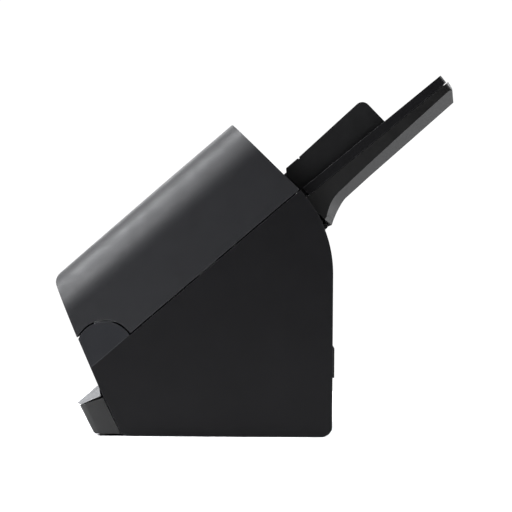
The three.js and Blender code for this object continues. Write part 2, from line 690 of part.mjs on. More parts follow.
// The tray's outside as a solid, or its inside when moved in by the wall. Both end faces follow
// the outline seen from the side.
function trayBody(wall) {
  const root = (w) => (w > -22 ? -2.8 : -0.5 + (w + 24.6) * -0.23);
  const tip = (w) => 116.9 - Math.max(0, -12 - w) * 0.62 - (SHELL_TOP - w) * 0.1;
  const rings = TRAY_SECTIONS.map(([t, side, deep], i, all) => {
    const flat = TRAY_HALF - (deep - side);
    const ring = mirrorInX(wall
      ? [[TRAY_HALF - wall, 4], [TRAY_HALF - wall, wall * 0.4 - side], [flat - wall * 0.4, wall - deep]]
      : [[TRAY_HALF, SHELL_TOP], [TRAY_HALF, -side], [flat, -deep]]);
    const end = (w) => (i === 0 ? root(w) - wall * 2 : i === all.length - 1 ? tip(w) - wall : t);
    return ring.map(([x, w]) => [x, end(w), w]);
  });
  return loft(rings.map((r) => r.slice().reverse()));
}

// The hollow shell, with the slot that the extension slides out of and the cut-out for a finger.
function trayShell() {
  const slot = block(-SLOT.half, SLOT.half, 108, 122, SLOT.w0, SLOT.w1);
  const finger = block(-34, 34, 97, 109, -22, SLOT.w1);
  return cut(trayBody(0), trayBody(2.2), slot, finger);
}

// The plate that the paper lies on, with rims at its sides, slots for the guides' necks, and the
// post that the pinion turns on.
function trayPlate() {
  const rim = 2.6;
  const side = [
    [TRAY_HALF - rim, PLATE.under], [TRAY_HALF, PLATE.under - 0.3], [TRAY_HALF, 0],
    [TRAY_HALF - rim, 0], [TRAY_HALF - rim, PLATE.top],
  ];
  const plate = along(mirrorInX(side), 1.6, TRAY_TIP);
  const post = new THREE.CylinderGeometry(PINION.bore - 0.5, PINION.bore - 0.5, 6.4, ROUND)
    .rotateX(Math.PI / 2).translate(0, PINION.t, -8.4);
  const slots = [1, -1].map((s) => {
    const t = PINION.t + s * NECK_SHIFT;
    const ends = ascending(s * (GUIDE.inner - GUIDE.travel - 4), s * (GUIDE.inner + 8));
    return block(...ends, t - 3.6, t + 3.6, -8, 1);
  });
  return cut(join(plate, post), ...slots);
}

// Straight rack of teeth along x: pitch line at t = 0, teeth pointing to -t.
function rackOutline(x0, x1, back) {
  const pitch = Math.PI * PINION.module;
  const [addendum, dedendum] = [PINION.module * 0.9, PINION.module * 1.15];
  const slope = Math.tan(THREE.MathUtils.degToRad(20));
  const thick = pitch / 2 - 0.5;
  const points = [[x1, back], [x0, back], [x0, dedendum]];
  for (let k = Math.ceil(x0 / pitch + 0.5); k * pitch + pitch / 2 < x1; k++) {
    const c = k * pitch;
    const [root, tip] = [thick / 2 + dedendum * slope, thick / 2 - addendum * slope];
    points.push([c - root, dedendum], [c - tip, -addendum], [c + tip, -addendum], [c + root, dedendum]);
  }
  points.push([x1, dedendum]);
  return points.reverse();
}

// Pinion outline: each flank is a short run of points on the involute of a 20 degree gear.
function pinionOutline() {
  const { teeth, module } = PINION;
  const rp = PINION_R;
  const rb = rp * Math.cos(THREE.MathUtils.degToRad(20));
  const [ro, rr] = [rp + module * 0.9, rp - module * 1.15];
  const involute = (r) => (r <= rb ? 0 : Math.sqrt((r / rb) ** 2 - 1) - Math.acos(rb / r));
  const half = (Math.PI / 2 - 0.25) / teeth + involute(rp);
  const points = [];
  for (let k = 0; k < teeth; k++) {
    const a = (k * 2 * Math.PI) / teeth;
    const flank = [rr, rb, rp, ro].map((r) => [r, half - involute(r)]);
    const at = (r, angle) => [r * Math.cos(angle), r * Math.sin(angle)];
    points.push(...flank.map(([r, h]) => at(r, a - h)));
    points.push(...flank.map(([r, h]) => at(r, a + h)).reverse());
  }
  return points;
}

// Side view of a guide's fin, with a small notch in its top edge.
function finOutline(bottom) {
  return [
    [0.6, bottom], [-1.9, 12.4], [1.2, 16.9], [11, 17.1], [11.3, 16.3], [12.2, 16.3], [12.2, 17.2],
    ...rounded([12.2, 17.2], [67.9, 20.2], [69.8, bottom], 5.4, 5), [69.8, bottom],
  ].reverse();
}

// Paper guide: fin, foot on the plate, neck through the slot, and rack. The two racks pass on
// opposite sides of the pinion, so the guides move together.
function guide(sign) {
  const low = PLATE.top + FIT;
  const t = PINION.t + sign * NECK_SHIFT;
  const span = (a, b) => ascending(sign * (GUIDE.inner + a), sign * (GUIDE.inner + b));
  const fin = across(finOutline(low), ...span(0, GUIDE.thick));
  const foot = block(...span(1, 8), 3, 69.4, low, low + 1.6);
  const neck = block(...span(-2, 4), t - 2.6, t + 2.6, PINION.under, low + 1);
  const rack = slab(rackOutline(-12, GUIDE.inner, 8), PINION.under, PINION.top)
    .rotateZ(sign > 0 ? 0 : Math.PI).translate(0, PINION.t + sign * PINION_R, 0);
  return join(fin, foot, neck, rack);
}

function guidePinion() {
  return slab(pinionOutline(), PINION.under, PINION.top, [hole(0, 0, PINION.bore)])
    .rotateZ(Math.PI / 2 + Math.PI / PINION.teeth);
}

// Pull-out extension, with ribs under its end for the finger.
function feedExtension() {
  const half = SLOT.half - 1;
  const plate = across([[22, -15.6], [113.6, -15.6], [115.2, -12.8], [22, -12.8]], -half, half);
  const ribs = [100, 103, 106].map((t) => block(-30, 30, t - 0.6, t + 0.6, -16, -15));
  return join(plate, ...ribs);
}

// ---------------------------------------------------------------- output trays
function outputTray() {
  const { front, rear, z0, z1 } = OUT_TRAY;
  const floor = block(-120, 120, front, rear, z0, z1);
  const rails = [119, -119].map((x) => block(x - 1.6, x + 1.6, front + 2, rear, z0, 9));
  return join(floor, ...rails);
}

// Second stage: a thin plate, with the open bin across its front end.
function outputExtension() {
  const [[fy0, fz0], [fy1, fz1]] = BIN.front;
  const [[ry0, rz0], [ry1, rz1]] = BIN.rear;
  const bin = across([
    [fy0 + 1.4, rz0], [ry0, rz0], [ry1, rz1], [fy1, fz1], [fy0, fz0],
  ], -OUT_HALF, OUT_HALF);
  const hollow = across([
    [fy0 + 3.4, OUT_EXT.z1], [-80, OUT_EXT.z1], [-80, 40], [fy1 - 8, 40], [fy1 + 2.6, fz1],
  ], -OUT_HALF + BIN.wall, OUT_HALF - BIN.wall);
  const plate = block(-116, 116, -100, OUT_EXT.rear, OUT_EXT.z0, OUT_EXT.z1);
  return join(cut(bin, hollow), plate);
}

// Flap that lies over the bin, and stands up as the stop for long sheets.
function paperStop() {
  const side = [[-111.4, 19.8], [-98.4, 25.4], [-99.4, 29.6], [-107, 26.6], [-113.9, 20.6]];
  return across(side, -OUT_HALF + 1, OUT_HALF - 1);
}

// ---------------------------------------------------------------- assembly
add(scanner, "side_cover_right", sideCover(1), M.body);
add(scanner, "side_cover_left", sideCover(-1), M.body);
add(scanner, "rear_cover", rearCover(), M.body);
add(scanner, "port_bezel", portBezel(), M.inner);
add(scanner, "base_pan", basePan(), M.inner);
add(scanner, "front_panel", frontPanel(), M.body);
add(scanner, "exit_nose", exitNose(), M.body);
for (const [x, y] of FOOT.places) {
  const name = `foot_${y < 0 ? "front" : "rear"}_${x > 0 ? "right" : "left"}`;
  add(scanner, name, foot(), M.rubber, [x, y, FOOT.high / 2]);
}

add(pathGroup, "side_frame_right", sideFrame(), M.frame);
add(pathGroup, "side_frame_left", mirrored(sideFrame()), M.frame);
add(pathGroup, "lower_paper_guide", lowerGuide(), M.inner);
add(pathGroup, "lower_scan_unit", scanUnit(), M.inner);
add(pathGroup, "lower_scan_glass", scanGlass(), M.glass);
for (const [side, x] of [["right", 0], ["left", -262.6]]) {
  const pin = turned([[126.6, 4], [136, 4]], 16);
  add(pathGroup, `hinge_pin_${side}`, pin, M.steel, [x, HINGE.u, HINGE.n]);
}

addDriven("feed", FEED, FEED_TYRES, 8.6);
addDriven("register", REGISTER, DRIVE_TYRES, 5.4);
addDriven("transport", TRANSPORT, DRIVE_TYRES, 5.4);
add(pathGroup, "eject_roller", ejectRoller(), M.rubber, axisOf(EJECT));
add(pathGroup, "motor_pulley", motorPulley(), M.connector, [0, MOTOR.u, MOTOR.n]);
add(pathGroup, "drive_motor", driveMotor(), M.frame, [0, MOTOR.u, MOTOR.n]);
add(pathGroup, "drive_belt", driveBelt(), M.rubber);

add(scanner, "main_board", block(-96, 92, 38.6, 40.2, 16, 92), M.board);
add(scanner, "usb_port", cut(
  block(-28.6, -13.4, 40.6, 52, 39.6, 51.4), block(-26, -16, 44, 60, 42, 49)), M.connector);
add(scanner, "power_inlet", cut(
  block(-55, -42, 40.6, 52, 39.6, 51.4), block(-51.8, -45.2, 43, 60, 42.2, 48.8)), M.socket);

add(scanner, "front_cover", frontCover(), M.cover);
add(pathGroup, "upper_frame_right", upperFrame(), M.frame);
add(pathGroup, "upper_frame_left", mirrored(upperFrame()), M.frame);
add(pathGroup, "upper_paper_guide", upperGuide(), M.inner);
add(pathGroup, "upper_scan_unit", flipped(scanUnit()), M.inner);
add(pathGroup, "upper_scan_glass", flipped(scanGlass()), M.glass);

const separationAxis = [0, FEED.u, SEPARATION_R + NIP];
add(pathGroup, "separation_shaft", separationShaft(), M.steel, separationAxis);
add(pathGroup, "separation_roller", ring(SEPARATION_R, 7, -17, 17), M.grip, separationAxis);
for (const [name, u, r, end] of [
  ["register_pinch", REGISTER.u, PINCH_R, 74],
  ["transport_pinch", TRANSPORT.u, PINCH_R, 74],
  ["eject_pinch", EJECT.u, EJECT_PINCH_R, 82],
]) {
  add(pathGroup, name, pinchRoller(r, end), M.roller, [0, u, r + NIP]);
}
add(pathGroup, "release_lever", releaseLever(), M.tray, [0, LEVER.u, LEVER.n]);

add(faceGroup, "control_panel", controlPanel(), M.gloss);
add(faceGroup, "display_window", new THREE.BoxGeometry(DISPLAY.w, DISPLAY.h, 2.1), M.display,
  [KEYS_X, DISPLAY.f, -1.55]);
for (const { name, f, w, h } of BUTTONS) {
  add(faceGroup, name, new THREE.BoxGeometry(w, h, 5), M.button, [KEYS_X, f, -1.9]);
}

add(trayGroup, "feed_tray_shell", trayShell(), M.tray);
add(trayGroup, "feed_tray_plate", trayPlate(), M.tray);
add(trayGroup, "guide_right", guide(1), M.inner);
add(trayGroup, "guide_left", guide(-1), M.inner);
add(trayGroup, "guide_pinion", guidePinion(), M.roller, [0, PINION.t, 0]);
add(trayGroup, "feed_extension", feedExtension(), M.tray);

add(scanner, "output_tray", outputTray(), M.tray);
add(scanner, "output_extension", outputExtension(), M.tray);
add(scanner, "paper_stop", paperStop(), M.tray);

export default scanner;
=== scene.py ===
"""Sheet fed document scanner: the shown pieces, their materials, the light and the camera."""
import json
import math

import bmesh
import bpy
from mathutils import Matrix, Vector

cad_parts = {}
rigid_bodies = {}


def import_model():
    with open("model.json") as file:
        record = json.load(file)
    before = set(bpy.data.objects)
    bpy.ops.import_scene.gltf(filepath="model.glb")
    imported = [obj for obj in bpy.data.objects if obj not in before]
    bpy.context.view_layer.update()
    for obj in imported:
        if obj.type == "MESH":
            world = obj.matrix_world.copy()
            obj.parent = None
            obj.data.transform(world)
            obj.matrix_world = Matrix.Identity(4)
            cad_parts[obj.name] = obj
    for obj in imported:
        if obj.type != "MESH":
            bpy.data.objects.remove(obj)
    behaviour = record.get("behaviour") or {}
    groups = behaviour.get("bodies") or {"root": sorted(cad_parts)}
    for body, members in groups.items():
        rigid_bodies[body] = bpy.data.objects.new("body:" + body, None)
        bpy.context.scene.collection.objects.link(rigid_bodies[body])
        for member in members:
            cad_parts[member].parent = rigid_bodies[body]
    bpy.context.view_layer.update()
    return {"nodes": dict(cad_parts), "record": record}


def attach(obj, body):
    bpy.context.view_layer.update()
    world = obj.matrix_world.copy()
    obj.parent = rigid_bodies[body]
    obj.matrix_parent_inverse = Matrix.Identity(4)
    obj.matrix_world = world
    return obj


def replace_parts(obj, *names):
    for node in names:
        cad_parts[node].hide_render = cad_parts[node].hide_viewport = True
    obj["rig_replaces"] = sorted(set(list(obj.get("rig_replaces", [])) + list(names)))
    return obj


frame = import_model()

MM = 0.001
# ------------------------------------------------------------------ dimensions, in millimetres
HALF_WIDTH, SKIN, FIT, SPLIT_GAP, FLOOR_Z = 145.5, 2.6, 0.4, 0.5, 0.5
SIDE_WALL, BEHIND_FRAME = 3.0, 136.2
PATH_TILT, TRAY_TILT, FACE_TILT = (math.radians(a) for a in (40.8, 39.7, 41.2))
PATH_ORIGIN, TRAY_ORIGIN, FACE_ORIGIN = (-79.4, 65.4), (28.8, 158.4), (-129.6, 100.3)
PATH_LENGTH = 141.2
HINGE = HINGE_U, HINGE_N = -19.8, 2.3
BOSS_RADIUS, BOSS_RECESS = 18.6, 19.8
REAR_Y, REAR_ARC, REAR_ARC_Z, FOOT_CORNER = 49.3, 77.7, 104, 6
FRONT_EDGE = [(-79.5, 0.5), (-84.9, 1.4), (-99.3, 30.6), (-111.9, 59.2)]
APEX, LIP = (-16.2, 200.1), (-113.7, 62.4)
SIDE_DRAFT = math.tan(math.radians(2.6))
CHEEK_RADIUS, FACE_HEIGHT, CHIN_RADIUS, APEX_RADIUS = 30, 60.2, 7.3, 1.2
TRAY_HALF, TRAY_TIP, PLATE_TOP, PLATE_UNDER, SHELL_TOP = 120, 115.8, -3.2, -5.6, -6.3
PIN_T, PIN_R, NECK_SHIFT = 45, 14, 18.5
OUT_HALF = 141
FEED, REGISTER, TRANSPORT, EJECT = (112, 12), (86, 8), (38, 8), (-14, 7)  # place down the path, radius
FEED_X, NIP_X, HOOK_X = (14, -14), (52, -52), (119, -119)
NIP, SHAFT_R, SEPARATION_R, PULLEY_SHARE, MOTOR_PULLEY_R = 0.15, 3, 10, 0.55, 5.4
PULLEY_X = (-141.9, -136.6)
MOTOR, LEVER_U, LEVER_N = (42, -46), 129, 14
FRAME_X, ARM_X = (133.6, 135.6), (127.2, 132.8)
SHEET_TOP, SHEET_UNDER, SHEET_HALF, EXIT_HALF = -1, -3.4, 133.2, 123.6
SCAN_U0, SCAN_U1, SCAN_HALF = 51, 73, 116
PORT_X0, PORT_X1, PORT_Z0, PORT_Z1 = -62, -6, 33.9, 59.3
SOCKET_Z = (39.6, 51.4)
# On the panel each shape has its place up the face, width, height and corner radius.
PANEL_X, DISPLAY = 81, (109, 28, 17, 1.5)
KEYS = [("power", 128, 13, 8, 3.9), ("start", 88, 26, 11, 3), ("stop", 74, 26, 9, 3)]
BIN_LOW = 1.3
FINE = 24  # segments in a large visible rounding


def place(origin, tilt, along, up):
    """(y, z) of a point given along a sloping line and up from it."""
    c, s = math.cos(tilt), math.sin(tilt)
    return (origin[0] + along * c - up * s, origin[1] + along * s + up * c)


def path(u, n):
    """u runs up the line of the split, along the paper's path, and n is square to it."""
    return place(PATH_ORIGIN, PATH_TILT, u, n)


def face(f, m):
    """f runs up the sloping front face, and m stands out of it."""
    return place(FACE_ORIGIN, FACE_TILT, f, m)


def frame_of(origin, tilt):
    """Matrix from a sloping frame to the object's own, both in millimetres."""
    return Matrix.Translation((0, *origin)) @ Matrix.Rotation(tilt, 4, "X")


PATH, TRAY, FACE = (frame_of(o, t) for o, t in
                    ((PATH_ORIGIN, PATH_TILT), (TRAY_ORIGIN, TRAY_TILT), (FACE_ORIGIN, FACE_TILT)))
BOSS = path(HINGE_U, HINGE_N)


# ------------------------------------------------------------------ outlines
def arc(c, r, a0, a1, steps):
    """Points on a circle about c, from angle a0 to angle a1."""
    return [(c[0] + r * math.cos(a0 + (a1 - a0) * i / steps),
             c[1] + r * math.sin(a0 + (a1 - a0) * i / steps)) for i in range(steps + 1)]


def cross(p, q):
    """Where two lines, each given by two points, meet."""
    (a, b), (c, d) = p, q
    rx, ry, sx, sy = b[0] - a[0], b[1] - a[1], d[0] - c[0], d[1] - c[1]
    t = ((c[0] - a[0]) * sy - (c[1] - a[1]) * sx) / (rx * sy - ry * sx)
    return (a[0] + rx * t, a[1] + ry * t)


def rounded(a, b, c, r, steps):
    """Corner b, between a and c, as an arc of radius r."""
    B = Vector(b)
    A, C = (Vector(a) - B).normalized(), (Vector(c) - B).normalized()
    half = A.angle(C) / 2
    centre = B + (A + C).normalized() * (r / math.sin(half))
    p, q = B + A * (r / math.tan(half)) - centre, B + C * (r / math.tan(half)) - centre
    a0, a1 = math.atan2(p.y, p.x), math.atan2(q.y, q.x)
    turn = math.atan2(math.sin(a1 - a0), math.cos(a1 - a0))
    return arc(centre, r, a0, a0 + turn, steps)


def round_all(points, radii, steps=5):
    """A closed outline with its corners rounded. radii is one number, or one per corner, 0 for sharp."""
    n, out = len(points), []
    radii = radii if isinstance(radii, (list, tuple)) else [radii] * n
    for i, p in enumerate(points):
        r = radii[i]
        out += rounded(points[i - 1], p, points[(i + 1) % n], r, steps) if r else [p]
    return out


def rect(x0, x1, y0, y1, r, steps=5):
    """A rectangle with corners of radius r."""
    return round_all([(x0, y0), (x1, y0), (x1, y1), (x0, y1)], r, steps)


def inset(points, d):
    """A closed anticlockwise outline moved inwards by d."""
    n = len(points)

    def edge(i):
        a, b = points[i % n], points[(i + 1) % n]
        l = math.hypot(b[0] - a[0], b[1] - a[1])
        ox, oy = -(b[1] - a[1]) / l * d, (b[0] - a[0]) / l * d
        return (a[0] + ox, a[1] + oy), (b[0] + ox, b[1] + oy)

    return [cross(edge(i + n - 1), edge(i)) for i in range(n)]


def onto_circle(a, b, c, r):
    """Where the line from a through b leaves a circle."""
    d = (Vector(b) - Vector(a)).normalized()
    to = Vector(c) - Vector(a)
    return Vector(a) + d * (to.dot(d) + math.sqrt(r * r - d.cross(to) ** 2))


def body_outline():
    """Side of the lower half as (y, z), anticlockwise."""
    r = BOSS_RADIUS
    corner, centre = path(PATH_LENGTH, -SPLIT_GAP), (REAR_Y - REAR_ARC, REAR_ARC_Z)
    top = math.atan2(corner[1] - centre[1], corner[0] - centre[0])
    meet = onto_circle(FRONT_EDGE[2], FRONT_EDGE[3], BOSS, r) - Vector(BOSS)
    reach = math.asin((HINGE_N + SPLIT_GAP) / r)
    return [*FRONT_EDGE[2::-1],
            *rounded((0, FLOOR_Z), (REAR_Y, FLOOR_Z), (REAR_Y, REAR_ARC_Z), FOOT_CORNER, 10),
            *arc(centre, REAR_ARC, 0, top, FINE),
            *arc(BOSS, r, PATH_TILT - reach, math.atan2(meet.y, meet.x), FINE * 2)]


def upper_outline(d):
    """Side of the upper half, moved in by d, before the recess for the boss is cut."""
    split = (path(0, SPLIT_GAP), path(PATH_LENGTH, SPLIT_GAP))
    foot = cross((face(0, 0), LIP), split)
    low, high, chin, front = inset([split[1], APEX, face(0, 0), foot], d)
    top = [high] if d else rounded(low, high, chin, APEX_RADIUS, 6)
    return [low, *top, *rounded(high, chin, front, CHIN_RADIUS - d, 12), front]


def section(d):
    """Section across the slope as (x, n): sides upright below the split, leaning in above it."""
    roof, foot = FACE_HEIGHT - d, HALF_WIDTH - d
    edge = foot - roof * SIDE_DRAFT
    right = rounded((foot, 0), (edge, roof), (0, roof), CHEEK_RADIUS - d, FINE + 8)
    left = [(-x, n) for x, n in reversed(right)]
    return [(foot, -130), (foot, 0), *right, *left, (-foot, 0), (-foot, -130)]


# ------------------------------------------------------------------ solids
def solid(verts, faces, matrix):
    """An object from vertices in millimetres, with its faces turned outwards."""
    mesh = bpy.data.meshes.new("part")
    bm = bmesh.new()
    vs = [bm.verts.new((matrix @ Vector(v)) * MM) for v in verts]
    for f in faces:
        bm.faces.new([vs[i] for i in f])
    bmesh.ops.recalc_face_normals(bm, faces=bm.faces)
    bm.to_mesh(mesh)
    bm.free()
    o = bpy.data.objects.new("part", mesh)
    bpy.context.scene.collection.objects.link(o)
    return o


def prism(points, a, b, axis="X", matrix=Matrix()):
    """An outline pulled from a to b: (y, z) along X, (x, z) along Y or (x, y) along Z."""
    put = {"X": lambda p, q: (q, *p), "Y": lambda p, q: (p[0], q, p[1]), "Z": lambda p, q: (*p, q)}[axis]
    n = len(points)
    verts = [put(p, a) for p in points] + [put(p, b) for p in points]
    sides = [(i, (i + 1) % n, n + (i + 1) % n, n + i) for i in range(n)]
    return solid(verts, [*sides, range(n), range(n, 2 * n)], matrix)


def box(x0, x1, y0, y1, z0, z1, matrix=Matrix()):
    return prism([(x0, y0), (x1, y0), (x1, y1), (x0, y1)], z0, z1, "Z", matrix)


def rows(count, size, closed=False):
    """Faces between rings of points that follow each other, the last joined to the first if closed."""
    return [(k * size + i, k * size + (i + 1) % size,
             (k + 1) % count * size + (i + 1) % size, (k + 1) % count * size + i)
            for k in range(count if closed else count - 1) for i in range(size)]


def loft(rings, matrix=Matrix()):
    n, m = len(rings[0]), len(rings)
    ends = range(n), range((m - 1) * n, m * n)
    return solid([p for r in rings for p in r], [*rows(m, n), *ends], matrix)


def circles(steps, at, sides):
    """A ring of points for each (x, radius) in steps, about the line along X through at."""
    turns = [i * math.tau / sides for i in range(sides)]
    return [[(x, at[0] + r * math.cos(a), at[1] + r * math.sin(a)) for a in turns] for x, r in steps]


def turned(steps, at=(0, 0), matrix=Matrix(), sides=64):
    """A turned piece about X. steps holds (x, radius) pairs; at is the axis in the matrix's frame."""
    return loft(circles(steps, at, sides), matrix)


def turned_y(c, steps, sides=48):
    """A turned piece about Y, centred on (x, z)."""
    turn = Matrix.Translation((c[0], 0, c[1])) @ Matrix.Rotation(math.pi / 2, 4, "Z")
    return turned(steps, (0, 0), turn, sides)


def turned_z(c, steps, sides=64, matrix=Matrix()):
    """A turned piece about the matrix's Z, centred on (x, y)."""
    turn = Matrix.Translation((*c, 0)) @ Matrix.Rotation(-math.pi / 2, 4, "Y")
    return turned(steps, (0, 0), matrix @ turn, sides)


def rod(c, r, x0, x1, matrix=Matrix(), sides=96):
    return turned([(x0, r), (x1, r)], c, matrix, sides)


def span(s, a, b):
    """The stretch from a to b on the right, or its mirror image on the left where s is -1."""
    return sorted((s * a, s * b))


def combine(base, how, *tools):
    """base after a boolean with each tool. The tools are used up."""
    for t in tools:
        m = base.modifiers.new("cut", "BOOLEAN")
        m.operation, m.solver, m.object = how, "EXACT", t
    evaluated = base.evaluated_get(bpy.context.evaluated_depsgraph_get())
    mesh = bpy.data.meshes.new_from_object(evaluated)
    base.modifiers.clear()
    base.data = mesh
    for t in tools:
        bpy.data.objects.remove(t)
    return base


def cut(base, *tools):
    return combine(base, "DIFFERENCE", *tools)


def join(base, *tools):
    return combine(base, "UNION", *tools)


def common(base, tool):
    return combine(base, "INTERSECT", tool)


def mirrored(o):
    """The mirror image of o across the middle plane, o kept."""
    twin = copy_of(o)
    twin.data.transform(Matrix.Scale(-1, 4, (1, 0, 0)))
    twin.data.flip_normals()
    return twin


def copy_of(o):
    twin = bpy.data.objects.new("part", o.data.copy())
    bpy.context.scene.collection.objects.link(twin)
    return twin


def soften(o, width=0.5, segments=3, angle=32):
    """Rounds the sharp edges of o and shades it smooth."""
    for p in o.data.polygons:
        p.use_smooth = True
    o.data.set_sharp_from_angle(angle=math.radians(angle))
    if width:
        m = o.modifiers.new("edge", "BEVEL")
        m.width, m.segments, m.limit_method = width * MM, segments, "ANGLE"
        m.angle_limit, m.miter_outer, m.harden_normals = math.radians(angle), "MITER_ARC", True


# ------------------------------------------------------------------ materials
def material(name, color, rough, metal=0.0, grain=0.25, bump=0.12, vary=0.15, coat=0.0, specular=0.5,
             stretch=(1, 1, 1), edge_wear_and_sheen=0.0, alpha=1.0):
    """Noise of three sizes gives the tint, the roughness and the grain. Sizes are in millimetres."""
    m = bpy.data.materials.new(name)
    m.use_nodes = True
    nodes, links = m.node_tree.nodes, m.node_tree.links
    shader = nodes["Principled BSDF"]
    where = nodes.new("ShaderNodeTexCoord")
    scale = nodes.new("ShaderNodeMapping")
    scale.inputs["Scale"].default_value = stretch
    links.new(where.outputs["Object"], scale.inputs["Vector"])

    def noise(size, detail):
        n = nodes.new("ShaderNodeTexNoise")
        n.inputs["Scale"].default_value = 1 / (size * MM)
        n.inputs["Detail"].default_value = detail
        links.new(scale.outputs["Vector"], n.inputs["Vector"])
        return n.outputs["Fac"]

    def spread(value, low, high, a=0.25, b=0.75):
        r = nodes.new("ShaderNodeMapRange")
        r.inputs["From Min"].default_value, r.inputs["From Max"].default_value = a, b
        r.inputs["To Min"].default_value, r.inputs["To Max"].default_value = low, high
        links.new(value, r.inputs["Value"])
        return r.outputs["Result"]

    def mix(low, high, factor):
        n = nodes.new("ShaderNodeMix")
        n.data_type = "RGBA"
        for key, value in (("A", low), ("B", high)):
            if isinstance(value, bpy.types.NodeSocket):
                links.new(value, n.inputs[key])
            else:
                n.inputs[key].default_value = (*[min(1, c) for c in value], 1)
        links.new(factor, n.inputs["Factor"])
        return n.outputs["Result"]

    wide, fine = noise(28, 4), noise(grain, 2)
    tint = mix([c * (1 - vary) for c in color], [c * (1 + vary) for c in color], spread(wide, 0, 1))
    # Edges are painted lighter: a painted highlight along them, which also stands for handling wear. There
    # the rounded normal leaves the true one.
    surface, turn, near = [nodes.new("ShaderNode" + n) for n in ("NewGeometry", "Bevel", "VectorMath")]
    turn.samples, near.operation = 4, "DOT_PRODUCT"
    turn.inputs["Radius"].default_value = 0.5 * MM
    links.new(turn.outputs["Normal"], near.inputs[0])
    links.new(surface.outputs["True Normal"], near.inputs[1])
    wear_and_highlight_colour = [c * 2.2 + 0.03 for c in color]
    edge = mix(tint, wear_and_highlight_colour, spread(near.outputs["Value"], edge_wear_and_sheen, 0, 0.8, 0.97))
    links.new(edge, shader.inputs["Base Color"])
    links.new(spread(noise(9, 3), rough - 0.04, rough + 0.04), shader.inputs["Roughness"])
    relief = nodes.new("ShaderNodeBump")
    relief.inputs["Strength"].default_value = bump
    relief.inputs["Distance"].default_value = 0.08 * MM
    links.new(fine, relief.inputs["Height"])
    links.new(relief.outputs["Normal"], shader.inputs["Normal"])
    for key, value in (("Metallic", metal), ("Specular IOR Level", specular), ("IOR", 1.5),
                       ("Coat Weight", coat), ("Coat Roughness", 0.06), ("Alpha", alpha)):
        shader.inputs[key].default_value = value
    return m


# In each finish the edge setting says how strongly edges are painted lighter: a painted highlight that also
# stands for handling wear.
FINISHES = {
    "cover_plastic": dict(color=(0.0050, 0.0051, 0.0062), rough=0.5, grain=0.3, bump=0.2, edge_wear_and_sheen=0.8,
                          specular=0.25),
    "body_plastic": dict(color=(0.0034, 0.0033, 0.0038), rough=0.42, grain=0.3, bump=0.22, edge_wear_and_sheen=0.9,
                         specular=0.11),
    # A lighter copy of body_plastic for the same cover: its extra lightness is painted light on the side
    # above the split.
    "lit_boss_plastic": dict(color=(0.0060, 0.0064, 0.0080), rough=0.47, grain=0.3, bump=0.22, edge_wear_and_sheen=0.9,
                         specular=0.2),
    "tray_plastic": dict(color=(0.0030, 0.0029, 0.0029), rough=0.33, grain=0.3, bump=0.15, edge_wear_and_sheen=0.8,
                         specular=0.36),
    "inner_plastic": dict(color=(0.0034, 0.0034, 0.0037), rough=0.4, grain=0.35, bump=0.12, edge_wear_and_sheen=0.5,
                          specular=0.22),
    "panel_gloss": dict(color=(0.004, 0.004, 0.005), rough=0.10, grain=1.5, bump=0.01, coat=0.6),
    "display_glass": dict(color=(0.006, 0.008, 0.011), rough=0.07, grain=2, bump=0.01, coat=0.8),
    "button_plastic": dict(color=(0.045, 0.046, 0.050), rough=0.38, grain=0.25, bump=0.15, edge_wear_and_sheen=0.6),
    "polished_steel": dict(color=(0.60, 0.61, 0.63), rough=0.22, metal=1, grain=0.2, bump=0.06, vary=0.06,
                           stretch=(0.05, 1, 1)),
    "pressed_steel": dict(color=(0.48, 0.49, 0.50), rough=0.38, metal=1, grain=0.6, bump=0.12, vary=0.08),
    "roller_rubber": dict(color=(0.14, 0.145, 0.15), rough=0.78, grain=0.4, bump=0.5, specular=0.3),
    "black_rubber": dict(color=(0.018, 0.018, 0.018), rough=0.8, grain=0.5, bump=0.5, specular=0.3),
    "pale_plastic": dict(color=(0.60, 0.60, 0.56), rough=0.42, grain=0.5, bump=0.08),
    "scan_glass": dict(color=(0.60, 0.66, 0.67), rough=0.05, grain=3, bump=0.01, alpha=0.45, coat=0.5),
    "circuit_board": dict(color=(0.015, 0.10, 0.045), rough=0.4, grain=0.8, bump=0.2, vary=0.3),
    "connector_metal": dict(color=(0.55, 0.56, 0.58), rough=0.3, metal=1, grain=0.4, bump=0.06),
    "socket_plastic": dict(color=(0.006, 0.006, 0.006), rough=0.5, grain=0.4, bump=0.2),
}
MATERIALS = {name: material(name, **finish) for name, finish in FINISHES.items()}


def finish_piece(o, name, body, slot, nodes=(), width=0.5, segments=3, look=None):
    """Softens o and hangs it on its body. look names its material where its slot doesn't."""
    o.name = name
    o.data.name = name
    soften(o, width, segments)
    o.data.materials.clear()
    o.data.materials.append(MATERIALS[look or slot])
    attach(o, body)
    if nodes:
        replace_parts(o, *nodes)


def finish_pair(o, name, body, slot, node, width, look=None):
    """The right-hand piece o and its mirror image on the left."""
    twin = mirrored(o)
    finish_piece(o, name + "_right", body, slot, [node + "_right"], width, look=look)
    finish_piece(twin, name + "_left", body, slot, [node + "_left"], width, look=look)


